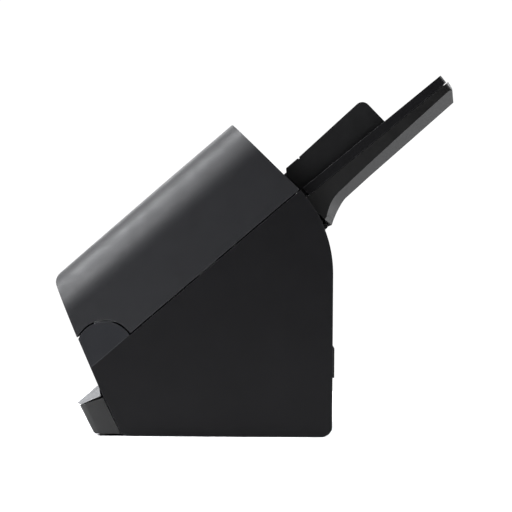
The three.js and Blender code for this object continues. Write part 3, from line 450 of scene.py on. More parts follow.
# ------------------------------------------------------------------ lower half: covers
def side_covers():
    inner = HALF_WIDTH - SIDE_WALL
    wall = prism(body_outline(), inner, HALF_WIDTH + 6)
    rim = cut(prism(body_outline(), BEHIND_FRAME, inner + 0.5), rod(BOSS, BOSS_RADIUS - 2.4, 130, 150),
              box(120, 160, -300, 300, -200, -1, PATH), box(120, 160, 0, 300, -200, 200, PATH))
    ledge = box(BEHIND_FRAME, inner + 0.5, 6, 138, -2.2, -SPLIT_GAP - 0.02, PATH)
    whole = join(common(wall, prism(section(0), -80, 230, "Y", PATH)), rim,
                 rod(BOSS, 5.8, BEHIND_FRAME, inner + 0.5), ledge)
    # The part of the side above the line of the split leans with the upper half. Its lighter colour is
    # painted light, for the light its upward lean catches.
    boss = common(copy_of(whole), box(120, 160, -60, 3, 0, 40, PATH))
    shell = cut(whole, box(120, 160, -60, 3, 0, 40, PATH))
    finish_pair(shell, "side_shell", "base", "body_plastic", "side_cover", 0.45)
    finish_pair(boss, "side_boss", "base", "body_plastic", "side_cover", 0.3, "lit_boss_plastic")


def rear_cover():
    half = HALF_WIDTH - SIDE_WALL - FIT
    centre, corner = (REAR_Y - REAR_ARC, REAR_ARC_Z), math.radians(42.6)
    inner_y, floor = REAR_Y - SKIN, FLOOR_Z + SKIN
    foot = rounded((0, FLOOR_Z), (REAR_Y, FLOOR_Z), (REAR_Y, REAR_ARC_Z), FOOT_CORNER, 10)
    inner_foot = rounded((inner_y, REAR_ARC_Z), (inner_y, floor), (0, floor), FOOT_CORNER - SKIN, 8)
    outer = [(40, FLOOR_Z), *foot, *arc(centre, REAR_ARC, 0, corner, 32)]
    inner = [*arc(centre, REAR_ARC - SKIN, corner, 0, 32), *inner_foot, (40, floor)]
    lip = [(41.2, 133), (44.2, 132.2), (46.4, 134.4), (42.2, 141.2), (40.6, 139.4)]
    ledge = prism(round_all(lip, 0.5, 3), -100, 100)
    window = prism(rect(PORT_X0 + 3, PORT_X1 - 3, PORT_Z0 + 3, PORT_Z1 - 3, 1.5), 40, 60, "Y")
    gap = box(-TRAY_HALF - 1, TRAY_HALF + 1, 0, 60, 136, 180)
    vents = [prism(rect(x, x + 3, 70, 96, 1.45), 40, 60, "Y") for x in range(30, 110, 7)]
    shell = cut(join(prism([*outer, *inner], -half, half), ledge), window, gap, *vents)
    finish_piece(shell, "rear_shell", "base", "body_plastic", ["rear_cover"], 0.35)


def port_bezel():
    face_y = REAR_Y + 3.8
    side = [(REAR_Y + FIT, PORT_Z0), (face_y, PORT_Z0), (face_y, PORT_Z1 - 5.4), (REAR_Y + FIT, PORT_Z1)]
    holes = [prism(rect(x0, x1, 38.5, 52.5, 2), 40, 60, "Y")
             for x0, x1 in ((PORT_X0 + 6, PORT_X0 + 22), (PORT_X1 - 24, PORT_X1 - 6))]
    surround = cut(prism(side, PORT_X0, PORT_X1), *holes)
    finish_piece(surround, "port_surround", "base", "inner_plastic", ["port_bezel"], 0.5)
    mouth = [(-26, 42), (-16, 42), (-16, 47.4), (-17.8, 49), (-24.2, 49), (-26, 47.4)]
    usb = cut(prism(rect(-28.6, -13.4, *SOCKET_Z, 1), 40.6, 52, "Y"), prism(mouth, 44, 60, "Y"))
    usb = join(usb, box(-23.6, -18.4, 42, 49, 44, 47))
    finish_piece(usb, "usb_shell", "base", "connector_metal", ["usb_port"], 0.25)
    centre = (-48.5, 45.5)
    inlet = cut(prism(rect(-55, -42, *SOCKET_Z, 1.2), 40.6, 52, "Y"),
                turned_y(centre, [(43, 3.3), (60, 3.3)]))
    inlet = join(inlet, turned_y(centre, [(42.5, 1.0), (50.4, 1.0), (51, 0.6)], 24))
    finish_piece(inlet, "inlet_socket", "base", "socket_plastic", ["power_inlet"], 0.25)


def floor_pan():
    half = HALF_WIDTH - SIDE_WALL - FIT
    rails = [box(x, x + 6, -76, 36, FLOOR_Z + 1, 12) for x in (124, -130)]
    pan = join(box(-half, half, -79, 39.4, FLOOR_Z, FLOOR_Z + 2.2), *rails)
    feet = [(s * 118, y) for s in (1, -1) for y in (-62, 26)]
    pan = cut(pan, *[turned_z(p, [(-1, 8.4), (1.9, 8.4)]) for p in feet])
    finish_piece(pan, "floor_pan", "base", "inner_plastic", ["base_pan"], 0.4)
    for x, y in feet:
        name = f"foot_{'front' if y < 0 else 'rear'}_{'right' if x > 0 else 'left'}"
        pad = turned_z((x, y), [(0, 6.6), (0.12, 7.3), (0.5, 7.8), (1.0, 8), (1.6, 8)])
        finish_piece(pad, name + "_pad", "base", "black_rubber", [name], 0)


def front_panel():
    half = HALF_WIDTH - SIDE_WALL - FIT
    line = [(-89.6, 10.6), (-99.4, 31), (-101.6, 36.4), (-93, 40.2),
            (-93, 37.8), (-98.4, 35.4), (-96.9, 31.6), (-87, 11)]
    panel = prism(round_all(line, [0.5, 4, 2, 0.6, 0.6, 1, 3, 0.5], 6), -half, half)
    finish_piece(panel, "front_apron", "base", "body_plastic", ["front_panel"], 0.3)


def exit_nose():
    def block(u0, u1, n0, n1, half):
        return prism([path(u0, n0), path(u1, n0), path(u1, n1), path(u0, n1)], -half, half)

    half = 126.2
    disc = common(rod(BOSS, BOSS_RADIUS, -half, half), block(-70, 20, 0.9, 40, half))
    low, high = FRONT_EDGE[2:]
    run = (low[0] - high[0], low[1] - high[1])
    under = (high[0] + 0.6 + run[0] * 2, high[1] + run[1] * 2)
    over = (high[0] + 0.6 - run[0], high[1] - run[1])
    front = prism([under, over, (-160, 110), (-160, 0)], -150, 150)
    nose = cut(disc, front, block(-20.4, -7.6, 0, 9, 84), block(-5.6, -2.6, 0, 2.5, 120))
    finish_piece(nose, "nose", "base", "body_plastic", ["exit_nose"], 0.5)


# ------------------------------------------------------------------ frames and paper path
def frames():
    low = [(-27, -8), (-24, -30), (20, -58), (88, -70), (104, -62), (122, -38), (133, -3.6), (4, -3.6),
           (-5, 2), *arc(HINGE, 9.5, 0.1, 3.1, 24)]
    shafts = [((u, -r - NIP), 4.5) for u, r in (FEED, REGISTER, TRANSPORT, EJECT)]
    lightening = [((60, -40), 9), ((88, -40), 11), ((14, -34), 8)]
    holes = [*shafts, (MOTOR, 5), (HINGE, 4.4), *lightening]
    plate = cut(prism(low, *FRAME_X, "X", PATH), *[rod(c, r, 130, 140, PATH, 48) for c, r in holes])
    finish_pair(plate, "frame_plate", "base", "pressed_steel", "side_frame", 0.2)
    high = [*arc(HINGE, 7.4, math.pi * 0.8, math.pi * 1.8, 24), (-9.4, 12.4), (4, 12.4), (4, 4.4),
            (132, 4.4), (132, 26), (110, 34), (2, 34), (-13, 22)]
    bores = [(HINGE, 4.4), ((FEED[0], SEPARATION_R + NIP), 3.4)]
    arm = cut(prism(high, *ARM_X, "X", PATH), *[rod(c, r, 120, 140, PATH, 48) for c, r in bores])
    finish_pair(arm, "arm", "cover", "pressed_steel", "upper_frame", 0.3)
    for s, side in ((1, "right"), (-1, "left")):
        x0, x1 = span(s, 126.6, 136)
        pin = turned([(x0, 3.6), (x0 + 0.4, 4), (x1 - 0.4, 4), (x1, 3.6)], HINGE, PATH)
        finish_piece(pin, "pin_" + side, "base", "polished_steel", ["hinge_pin_" + side], 0)


def tyre_windows(u, places, half, reach, n0, n1):
    return [prism(rect(x - half, x + half, u - reach, u + reach, 1.5), n0, n1, "Z", PATH) for x in places]


def lower_guide():
    low, top = SHEET_UNDER, SHEET_TOP
    mouth = prism([(-21.4, low), (-21.4, top), (-25.6, -3.2), (-25.6, -5)], -EXIT_HALF, EXIT_HALF, "X", PATH)
    ribs = [box(x - 1, x + 1, 4, 30, low - 4, low + 0.5, PATH) for x in (-96, -32, 32, 96)]
    sheet = join(box(-SHEET_HALF, SHEET_HALF, 5, 136.6, low, top, PATH),
                 box(-EXIT_HALF, EXIT_HALF, -21.5, 6, low, top, PATH), mouth, *ribs)
    lines = [x for x in range(-112, 113, 16) if abs(abs(x) - NIP_X[0]) > 17]
    raised = [box(x - 0.6, x + 0.6, 8, 48, top - 0.2, top + 0.35, PATH) for x in lines]
    windows = [*tyre_windows(FEED[0], FEED_X, 10.5, 8.6, -6, 2)]
    for u, reach in ((REGISTER[0], 7.2), (TRANSPORT[0], 7.2), (EJECT[0], 6.9)):
        windows += tyre_windows(u, NIP_X, 15.5, reach, -9, 2)
    windows.append(box(-SCAN_HALF, SCAN_HALF, SCAN_U0, SCAN_U1, -6, 2, PATH))
    windows += [box(x - 4, x + 4, 121, 130.6, -6, 2, PATH) for x in HOOK_X]
    guide = cut(join(sheet, *raised), *windows)
    finish_piece(guide, "lower_guide", "base", "inner_plastic", ["lower_paper_guide"], 0.25, 2)


def upper_guide():
    nips = (REGISTER[0], TRANSPORT[0])
    windows = [box(-20, 20, 103.4, 120.6, 0, 6, PATH)]
    windows += [w for u in nips for w in tyre_windows(u, NIP_X, 15.5, 5.6, 0, 6)]
    windows.append(box(-SCAN_HALF, SCAN_HALF, SCAN_U0, SCAN_U1, 0, 6, PATH))
    windows += [box(x - 4, x + 4, 122, 133.4, 0, 6, PATH) for x in HOOK_X]
    windows += [box(-76, 76, u - 2.4, u + 2.4, 3, 6, PATH) for u in nips]
    guide = cut(box(-141.4, 141.4, 4.6, PATH_LENGTH - 4, 1.4, 3.8, PATH), *windows)
    finish_piece(guide, "upper_guide", "cover", "inner_plastic", ["upper_paper_guide"], 0.25, 2)


def scan_bars():
    half, u0, u1 = SCAN_HALF - 1, SCAN_U0 + 0.8, SCAN_U1 - 0.8
    for s, side, body in ((-1, "lower", "base"), (1, "upper", "cover")):
        flip = PATH @ Matrix.Scale(-s, 4, (0, 0, 1))
        bar = join(box(-half, half, u0, u1, -16, -2.6, flip), box(-half, half, u0, u1, -3.4, -1.2, flip))
        bar = cut(bar, box(-half + 3, half - 3, u0 + 2, u1 - 2, -3, 0, flip))
        finish_piece(bar, side + "_sensor_bar", body, "inner_plastic", [side + "_scan_unit"], 0.3)
        glass = box(-SCAN_HALF + 4.4, SCAN_HALF - 4.4, SCAN_U0 + 3.2, SCAN_U1 - 3.2, -2.6, -1, flip)
        finish_piece(glass, side + "_glass_strip", body, "scan_glass", [side + "_scan_glass"], 0.2, 2)


# ------------------------------------------------------------------ drive and rollers
def tyre(r, bore, x0, x1, at, grooves=9):
    """A ribbed rubber tyre with rounded shoulders."""
    steps, pitch = [(x0, bore), (x0, r - 0.8), (x0 + 0.25, r - 0.25), (x0 + 0.8, r)], (x1 - x0 - 2) / grooves
    for k in range(1, grooves):
        x = x0 + 1 + k * pitch
        steps += [(x - 0.35, r), (x - 0.15, r - 0.3), (x + 0.15, r - 0.3), (x + 0.35, r)]
    steps += [(x1 - 0.8, r), (x1 - 0.25, r - 0.25), (x1, r - 0.8), (x1, bore)]
    sides = 64
    points = [p for ring in circles(steps, at, sides) for p in ring]
    return solid(points, rows(len(steps), sides, closed=True), PATH)


def driven_shaft(roller, seats):
    pulley, (x0, x1) = roller[1] * PULLEY_SHARE - 0.6, PULLEY_X
    steps = [(x0, SHAFT_R - 1), (x0, pulley), (x1, pulley), (x1, SHAFT_R)]
    for a, b, r in seats:
        steps += [(a, SHAFT_R), (a, r), (b, r), (b, SHAFT_R)]
    return turned([*steps, (137.2, SHAFT_R), (137.6, SHAFT_R - 0.4)], (roller[0], -roller[1] - NIP), PATH)


def driven_shafts():
    shafts = (("feed", FEED, FEED_X, 9, 8.6), ("register", REGISTER, NIP_X, 14, 5.4),
              ("transport", TRANSPORT, NIP_X, 14, 5.4))
    for name, roller, places, half, seat in shafts:
        body, at = name + "_drive", (roller[0], -roller[1] - NIP)
        shaft = driven_shaft(roller, [(x - half + 1, x + half - 1, seat) for x in sorted(places)])
        finish_piece(shaft, name + "_axle", body, "polished_steel", [name + "_shaft"], 0.15, 2)
        for x, side in zip(places, ("right", "left")):
            ring = tyre(roller[1], seat + 0.4, x - half, x + half, at)
            finish_piece(ring, f"{name}_rubber_{side}", body, "roller_rubber", [f"{name}_tyre_{side}"], 0)
    eject = driven_shaft(EJECT, [(x - 14, x + 14, EJECT[1]) for x in sorted(NIP_X)])
    finish_piece(eject, "eject_axle", "eject_drive", "roller_rubber", ["eject_roller"], 0.3)


def motor_and_belt():
    (x0, x1), r = PULLEY_X, MOTOR_PULLEY_R
    pulley = turned([(x0, r), (x1, r), (x1, 2.4), (-131.2, 2.4)], MOTOR, PATH)
    finish_piece(pulley, "motor_wheel", "motor_shaft", "connector_metal", ["motor_pulley"], 0.2)
    profile = [(-131, 14), (-131, 17), (-130, 18), (-105, 18),
               (-104, 17), (-104, 10), (-101.4, 10), (-101, 9.6)]
    can = turned(profile, MOTOR, PATH)
    finish_piece(can, "motor_can", "base", "pressed_steel", ["drive_motor"], 0.2)
    outside = prism(band_outline(1.55), -141.4, -137.4, "X", PATH)
    inside = prism(band_outline(0.35), -142, -137, "X", PATH)
    finish_piece(cut(outside, inside), "belt_loop", "base", "black_rubber", ["drive_belt"], 0.15, 2)


def band_outline(distance):
    """Outline of a band stretched round all the pulleys."""
    wheels = [((u, -r - NIP), r * PULLEY_SHARE - 0.6) for u, r in (FEED, REGISTER, TRANSPORT, EJECT)]
    wheels.append((MOTOR, MOTOR_PULLEY_R))
    points = sorted(p for c, r in wheels for p in arc(c, r + distance, 0, math.tau * 63 / 64, 63))

    def chain(run):
        kept = []
        for p in run:
            while len(kept) > 1 and ((kept[-1][0] - kept[-2][0]) * (p[1] - kept[-2][1])
                                     - (kept[-1][1] - kept[-2][1]) * (p[0] - kept[-2][0])) <= 1e-6:
                kept.pop()
            kept.append(p)
        return kept[:-1]

    return chain(points) + chain(points[::-1])


def idle_rollers():
    at, core = (FEED[0], SEPARATION_R + NIP), 17.4
    left = [(-124, 2.6), (-123.6, 3), (-core, 3), (-core, 6.6)]
    shaft = turned([*left, *[(-x, r) for x, r in reversed(left)]], at, PATH)
    finish_piece(shaft, "separation_axle", "separation", "polished_steel", ["separation_shaft"], 0.15, 2)
    rubber = tyre(SEPARATION_R, 7, -17, 17, at, 12)
    finish_piece(rubber, "separation_rubber", "separation", "roller_rubber", ["separation_roller"], 0)
    thin, half = 1.6, 14
    pinches = (("register", REGISTER[0], 5, 74), ("transport", TRANSPORT[0], 5, 74),
               ("eject", EJECT[0], 4, 82))
    for name, u, r, end in pinches:
        steps = [(-end, thin - 0.3), (0.3 - end, thin)]
        for x in sorted(NIP_X):
            a, b = x - half, x + half
            steps += [(a, thin), (a, r - 0.5), (a + 0.5, r), (b - 0.5, r), (b, r - 0.5), (b, thin)]
        rollers = turned([*steps, (end - 0.3, thin), (end, thin - 0.3)], (u, r + NIP), PATH)
        node = name + "_pinch"
        finish_piece(rollers, node + "_rollers", name + "_idler", "pale_plastic", [node], 0.1, 2)


# ------------------------------------------------------------------ upper half
def front_cover():
    def hull(d):
        whole = common(prism(upper_outline(d), -150, 150), prism(section(d), -80, 230, "Y", PATH))
        return cut(whole, rod(BOSS, BOSS_RECESS + d, -160, 160))

    end, inner = PATH_LENGTH, HALF_WIDTH - SKIN - 0.6
    mouth = prism([path(3.4, -2), path(end - 3, -2), path(end - 4.6, 6.6), path(3.4, 6.6)], -inner, inner)
    window = prism(rect(53.7, 108.3, 65.7, 138.3, 5), -8, 4, "Z", FACE)
    lever = prism(rect(-25, 25, 9, 30, 3), end - 14, end + 14, "Y", PATH)
    around_arm = [path(-15, 8), path(6, 8), path(6, 30), path(-15, 30)]
    arms = [prism(around_arm, x - 3.6, x + 3.6) for x in (130, -130)]
    shell = cut(hull(0), hull(SKIN), mouth, window, lever, *arms)
    finish_piece(shell, "cover_shell", "cover", "cover_plastic", ["front_cover"], 0.3, 3)


def key_outline(f, w, h, r, grow=0.0):
    """Outline on the panel, centred at f up the face and larger by grow all round."""
    a, b = w / 2 + grow, h / 2 + grow
    return rect(PANEL_X - a, PANEL_X + a, f - b, f + b, r + grow, 8)


def control_panel():
    sheet = prism(key_outline(102, 54, 72, 4.7), -3, -0.3, "Z", FACE)
    openings = [shape for _, *shape in KEYS] + [DISPLAY]
    holes = [prism(key_outline(*shape, 0.4), -6, 2, "Z", FACE) for shape in openings]
    finish_piece(cut(sheet, *holes), "panel_sheet", "cover", "panel_gloss", ["control_panel"], 0.25)
    lens = prism(key_outline(*DISPLAY), -2.6, -0.5, "Z", FACE)
    finish_piece(lens, "display_lens", "cover", "display_glass", ["display_window"], 0.3)
    for name, *shape in KEYS:
        cap = prism(key_outline(*shape), -4.4, 0.6, "Z", FACE)
        finish_piece(cap, name + "_cap", name + "_key", "button_plastic", [name + "_button"], 0.5, 4)


def key_symbols():
    """Plain symbols, standing a hair out of the caps: a ring with a stroke, a triangle and a square."""
    a0, a1 = math.radians(125), math.radians(415)
    ring = [*arc((81, 128), 2.3, a0, a1, 32), *arc((81, 128), 1.8, a1, a0, 32)]
    stroke = [(80.75, 128.2), (81.25, 128.2), (81.25, 131), (80.75, 131)]
    triangle = [(79, 85.6), (83.4, 88), (79, 90.4)]
    square = [(79.2, 72.2), (82.8, 72.2), (82.8, 75.8), (79.2, 75.8)]
    for name, key, outline in (("power_ring", "power", ring), ("power_stroke", "power", stroke),
                               ("start_mark", "start", triangle), ("stop_mark", "stop", square)):
        finish_piece(prism(outline, 0.45, 0.66, "Z", FACE), name, key + "_key", "pale_plastic", (), 0)


def release_lever():
    at = PATH @ Matrix.Translation((0, LEVER_U, LEVER_N))
    shaft = turned([(-124, 2.6), (-123.6, 3), (123.6, 3), (124, 2.6)], (0, 0), at)
    hook = [(-3, 0), (-3, -18.6), (-0.4, -20.4), (2.8, -19.4), (2.8, -18), (0.2, -17.8), (3, 0)]
    hooks = [prism(hook, x - 1.6, x + 1.6, "X", at) for x in HOOK_X]
    blade = [(-1.5, 1), (1.5, -1.6), (9.4, 3.6), (9.6, 5.6), (8.2, 6.2)]
    paddle = prism(round_all(blade, [0, 0, 0.7, 0.7, 0.7], 4), -24, 24, "X", at)
    grip = [(-0.5, 0.8), (0.5, 1.4), (0.2, 2.1), (-0.5, 1.7)]
    grips = [prism([(c + a, b + c * 0.62) for a, b in grip], -20, 20, "X", at) for c in (4, 5.6, 7.2)]
    lever = join(shaft, *hooks, paddle, *grips)
    finish_piece(lever, "latch_lever", "latch", "tray_plastic", ["release_lever"], 0.3)


# ------------------------------------------------------------------ feed tray
def eased(points, x):
    """A smooth curve through (x, value) points."""
    last = len(points) - 1

    def slope(i):
        (xa, ya), (xb, yb) = points[max(i - 1, 0)], points[min(i + 1, last)]
        return (yb - ya) / (xb - xa)

    k = max(i for i in range(last) if i == 0 or points[i][0] <= x)
    (x0, y0), (x1, y1) = points[k], points[k + 1]
    h = x1 - x0
    s = (x - x0) / h
    return ((1 + 2 * s) * (1 - s) ** 2 * y0 + s * (1 - s) ** 2 * h * slope(k)
            + s * s * (3 - 2 * s) * y1 + s * s * (s - 1) * h * slope(k + 1))


def shell_root(w):
    """Where the tray's shell starts along the tray, at height w."""
    return -2.8 if w > -22 else -0.5 - (w + 24.6) * 0.23


def shell_tip(w):
    """Where it ends."""
    return 116.9 - max(0, -12 - w) * 0.62 - (SHELL_TOP - w) * 0.1


def tray_body(wall):
    """The tray's shell, moved in by wall. A section has its place, its side's depth and its full depth."""
    sections = [(0.8, 24.6, 30.2), (4.8, 21.4, 27.8), (11.5, 17.9, 24.6), (19, 16.5, 22.4),
                (60, 13.9, 20.7), (112.2, 11, 18.8)]
    along = [0.8 + 18.2 * i / 20 for i in range(21)] + [40, 75, 112.2]
    rings = []
    for t in along:
        side = eased([(a, b) for a, b, _ in sections], t)
        deep = eased([(a, c) for a, _, c in sections], t)
        bevel = deep - side
        half = [(TRAY_HALF, SHELL_TOP), (TRAY_HALF, -side), (TRAY_HALF - bevel, -deep)]
        if wall:
            half = [(TRAY_HALF - wall, 4), (TRAY_HALF - wall, wall * 0.4 - side),
                    (TRAY_HALF - bevel - wall * 0.4, wall - deep)]
        rings.append([(x, t, w) for x, w in half + [(-x, w) for x, w in reversed(half)]])
    rings[0] = [(x, shell_root(w) - wall * 2, w) for x, _, w in rings[0]]
    rings[-1] = [(x, shell_tip(w) - wall, w) for x, _, w in rings[-1]]
    return loft(rings, TRAY)


def tray_shell():
    slot = box(-106, 106, 108, 122, -16.2, -12.4, TRAY)
    finger = prism(rect(-34, 34, 97, 109, 4), -22, -12.4, "Z", TRAY)
    corners = [(TRAY_HALF, -30), (TRAY_HALF, 117.4), (-TRAY_HALF, 117.4), (-TRAY_HALF, -30)]
    tip = prism(round_all(corners, [0, 4.5, 4.5, 0], 12), -40, 5, "Z", TRAY)
    shell = cut(common(tray_body(0), tip), tray_body(2.2), slot, finger)
    finish_piece(shell, "tray_shell", "base", "tray_plastic", ["feed_tray_shell"], 0.45, 3)


def tray_plate():
    inner = TRAY_HALF - 2.6
    rim = [(TRAY_HALF, -5.9), (TRAY_HALF, 0), (inner, 0), (inner, PLATE_TOP)]
    line = [*rim, *[(-x, w) for x, w in reversed(rim)], (-inner, PLATE_UNDER), (inner, PLATE_UNDER)]
    post = turned_z((0, PIN_T), [(-11.6, 3), (-5.2, 3)], 48, TRAY)
    slots = [prism(rect(a, b, t - 3.6, t + 3.6, 3), -8, 1, "Z", TRAY)
             for a, b, t in ((24.5, 116.5, PIN_T + NECK_SHIFT), (-116.5, -24.5, PIN_T - NECK_SHIFT))]
    ribs = [box(x - 0.5, x + 0.5, 74, 112, PLATE_TOP - 0.2, PLATE_TOP + 0.3, TRAY)
            for x in range(-90, 91, 30)]
    skirts = [box(*span(s, 116.7, 117.4), 6, 113.4, -8.4, -5.3, TRAY) for s in (1, -1)]
    corners = [(TRAY_HALF, -9), (TRAY_HALF, TRAY_TIP), (-TRAY_HALF, TRAY_TIP), (-TRAY_HALF, -9)]
    plate = common(prism(line, 1.6, TRAY_TIP, "Y", TRAY),
                   prism(round_all(corners, [0, 2.2, 2.2, 0], 8), -30, 10, "Z", TRAY))
    apron = box(-116, 116, -5.4, 2, PLATE_UNDER, PLATE_TOP - 0.2, TRAY)
    plate = cut(join(plate, post, apron, *skirts, *ribs), *slots)
    finish_piece(plate, "tray_plate", "base", "body_plastic", ["feed_tray_plate"], 0.4)


def tray_leaf():
    leaf = prism([(22, -15.6), (113.6, -15.6), (115.2, -12.8), (22, -12.8)], -105, 105, "X", TRAY)
    grips = [box(-30, 30, t - 0.6, t + 0.6, -16, -15, TRAY) for t in (100, 103, 106)]
    finish_piece(join(leaf, *grips), "tray_leaf", "extension", "tray_plastic", ["feed_extension"], 0.25)


def rack_outline(x0, x1, back):
    """A rack of module 2 from x0 to x1, its roots on the line 2.3 and its back on the line given."""
    pitch, module, root_line, tip_line = math.pi * 2, 2, 2.3, -1.8
    points = [(x1, back), (x0, back), (x0, root_line)]
    slope, thick = math.tan(math.radians(20)), math.pi - 0.5
    root, tip = thick / 2 + root_line * slope, thick / 2 - module * 0.9 * slope
    k = math.ceil(x0 / pitch + 0.5)
    while k * pitch + pitch / 2 < x1:
        c = k * pitch
        points += [(c - root, root_line), (c - tip, tip_line), (c + tip, tip_line), (c + root, root_line)]
        k += 1
    return [*points, (x1, root_line)][::-1]


def guides():
    low = PLATE_TOP + 0.4
    fin = [(0.6, low), (-1.9, 12.4), (1.2, 16.9), (11, 17.1), (11.3, 16.3), (12.2, 16.3), (12.2, 17.2),
           *rounded((12.2, 17.2), (67.9, 20.2), (69.8, low), 5.4, 14), (69.8, low)]
    for s, side in ((1, "right"), (-1, "left")):
        body, node, t = "guide_" + side[0], "guide_" + side, PIN_T + s * NECK_SHIFT
        wing = prism(fin, *span(s, 108.5, 111.1), "X", TRAY)
        finish_piece(wing, "guide_fin_" + side, body, "inner_plastic", [node], 0.35)
        foot = box(*span(s, 111, 116.5), 3, 69.4, low, low + 1.6, TRAY)
        neck = box(*span(s, 106.5, 112.5), t - 2.6, t + 2.6, PLATE_UNDER - 0.6, low + 1, TRAY)
        finish_piece(join(foot, neck), "guide_foot_" + side, body, "inner_plastic", [node], 0.25)
        middle = TRAY @ Matrix.Translation((0, PIN_T + s * PIN_R, 0))
        turn = middle @ Matrix.Rotation(0 if s > 0 else math.pi, 4, "Z")
        rack = prism(rack_outline(-12, 108.5, 8), -10.8, -6.8, "Z", turn)
        post = box(*span(s, 106.5, 108.5), t - 2.6, t + 2.6, -10.8, PLATE_UNDER - 0.4, TRAY)
        finish_piece(join(rack, post), "guide_rack_" + side, body, "inner_plastic", [node], 0.2, 2)


# ------------------------------------------------------------------ output trays and board
def output_leaf():
    ribs = [box(x - 1.6, x + 1.6, -82, 32, 5, 9) for x in (119, -119)]
    leaf = join(box(-120, 120, -84, 32, 4.2, 6.2), *ribs)
    finish_piece(leaf, "out_leaf", "out_tray", "tray_plastic", ["output_tray"], 0.3)


def output_bin():
    (y0, z0), (y1, z1) = front = [(-103, BIN_LOW), (-112, 19.2)]
    rear = [(-85.4, BIN_LOW), (-96.8, 24.2)]
    block = prism([(y0 + 1.4, z0), *rear, front[1], (y0, z0 + 1)], -OUT_HALF, OUT_HALF)
    # The plan of the bin, with its front corners rounded, leans with the front face.
    lean = Matrix.Shear("XY", 4, (0, (y1 - y0) / (z1 - z0)))
    edge = y0 + 0.55
    plan = [(OUT_HALF, -60), (-OUT_HALF, -60), (-OUT_HALF, edge), (OUT_HALF, edge)]
    column = prism(round_all(plan, [0, 0, 4.5, 4.5], 10), -5, 60, "Z", lean)
    inner = OUT_HALF - 3
    hollow = prism([(y0 + 3.4, 8.4), (-80, 8.4), (-80, 40), (y1 - 8, 40), (y1 + 2.6, z1)], -inner, inner)
    whole = join(cut(common(block, column), hollow), box(-116, 116, -100, 26, 6.6, 8.4))
    finish_piece(whole, "out_bin", "out_extension", "tray_plastic", ["output_extension"], 0.4)


def stop_flap():
    flap = [(-111.4, 19.8), (-98.4, 25.4), (-99.4, 29.6), (-107, 26.6), (-113.9, 20.6)]
    reach = [OUT_HALF - 1] * 2 + [OUT_HALF - 6.5] * 3
    ends = [[(s * x, y, z) for x, (y, z) in zip(reach, flap)] for s in (-1, 1)]
    finish_piece(loft(ends), "stop_flap", "stopper", "button_plastic", ["paper_stop"], 0.3)


def board():
    sheet = box(-96, 92, 38.6, 40.2, 16, 92)
    finish_piece(sheet, "logic_board", "base", "circuit_board", ["main_board"], 0.1, 1)


PIECES = (side_covers, rear_cover, port_bezel, floor_pan, front_panel, exit_nose, frames, lower_guide,
          upper_guide, scan_bars, driven_shafts, motor_and_belt, idle_rollers, front_cover, control_panel,
          key_symbols, release_lever, tray_shell, tray_plate, tray_leaf, guides, output_leaf, output_bin,
          stop_flap, board)
for build in PIECES:
    build()

# CAD nodes that stay on show get rounded edges and the finish of their slot.
SLOT_OF = {s["node"]: s["material_slot"] for s in frame["record"]["subparts"]}
REPLACED = {n for o in bpy.data.objects if "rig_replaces" in o for n in o["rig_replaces"]}
for node, o in frame["nodes"].items():
    if node in REPLACED:
        continue
    for p in o.data.polygons:
        p.use_smooth = True
    o.data.set_sharp_from_angle(angle=math.radians(32))
    m = o.modifiers.new("edge", "BEVEL")
    m.width, m.segments, m.limit_method, m.angle_limit = 0.25 * MM, 2, "ANGLE", math.radians(32)
    m.harden_normals = True
    o.data.materials.clear()
    o.data.materials.append(MATERIALS[SLOT_OF[node]])


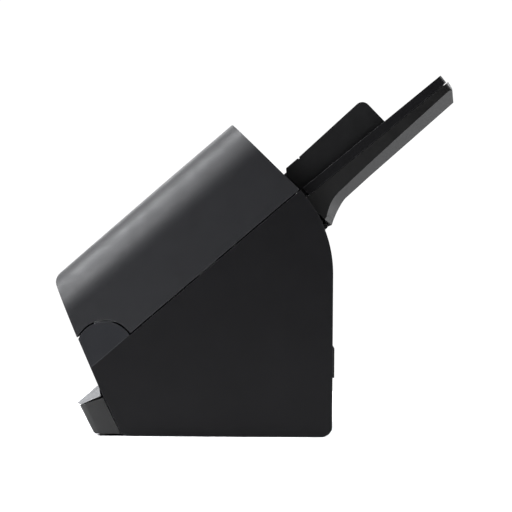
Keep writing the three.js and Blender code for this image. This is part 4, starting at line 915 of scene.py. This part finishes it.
# ------------------------------------------------------------------ stage, light and camera
def studio_light():
    bpy.context.scene.view_settings.view_transform = "Standard"
    world = bpy.data.worlds.new("studio")
    bpy.context.scene.world = world
    world.use_nodes = True
    nodes, links = world.node_tree.nodes, world.node_tree.links
    back = nodes["Background"]
    back.inputs["Color"].default_value = (1, 1, 1, 1)
    seen = nodes.new("ShaderNodeLightPath")
    strength = nodes.new("ShaderNodeMapRange")
    # The background is white to look at, and lights the object far less.
    strength.inputs["To Min"].default_value, strength.inputs["To Max"].default_value = 0.12, 1.05
    links.new(seen.outputs["Is Camera Ray"], strength.inputs["Value"])
    links.new(strength.outputs["Result"], back.inputs["Strength"])

    def soft(name, position, target, size, watts):
        light = bpy.data.lights.new(name, "AREA")
        light.shape, light.size, light.energy, light.color = "DISK", size, watts, (0.97, 0.98, 1.0)
        o = bpy.data.objects.new(name, light)
        bpy.context.scene.collection.objects.link(o)
        o.location = position
        o.rotation_euler = (Vector(target) - Vector(position)).to_track_quat("-Z", "Y").to_euler()

    middle = (0, 0, 0.11)
    soft("key", (0.42, -0.52, 0.47), (0.12, -0.11, 0.12), 0.30, 6.4)
    soft("front", (-0.1, -1.2, 1.35), middle, 0.5, 40)
    soft("top", (0.0, 0.2, 1.7), middle, 1.6, 30)
    soft("rear", (0.05, 1.4, 0.85), middle, 0.5, 55)
    soft("left", (-1.5, -0.6, 0.9), middle, 1.0, 9)


def stage():
    centre_x, radius, thickness = 150, 1000, 20
    upright = Matrix.Translation((centre_x, 0, 0)) @ Matrix.Rotation(-math.pi / 2, 4, "Y")
    floor = turned([(-thickness, radius), (0, radius)], (0, 0), upright, 128)
    floor.name = floor.data.name = "floor"
    m = material("floor_matte", (0.86, 0.86, 0.86), 0.7, grain=2, bump=0.05, vary=0.01, specular=0.1)
    floor.data.materials.append(m)


def camera():
    """A long lens from the right, level with the middle of the object and rolled a little."""
    distance, height, roll = 3, 0.1154, math.radians(0.4)
    cam = bpy.data.cameras.new("camera")
    o = bpy.data.objects.new("camera", cam)
    bpy.context.scene.collection.objects.link(o)
    bpy.context.scene.camera = o
    cam.lens, cam.sensor_width, cam.clip_start, cam.clip_end = 315, 36, 0.1, 50
    o.location = (distance, 0, height)
    look = Vector((-1, 0, 0)).to_track_quat("-Z", "Y").to_matrix()
    o.rotation_euler = (look @ Matrix.Rotation(roll, 3, "Z")).to_euler()


studio_light()
stage()
camera()
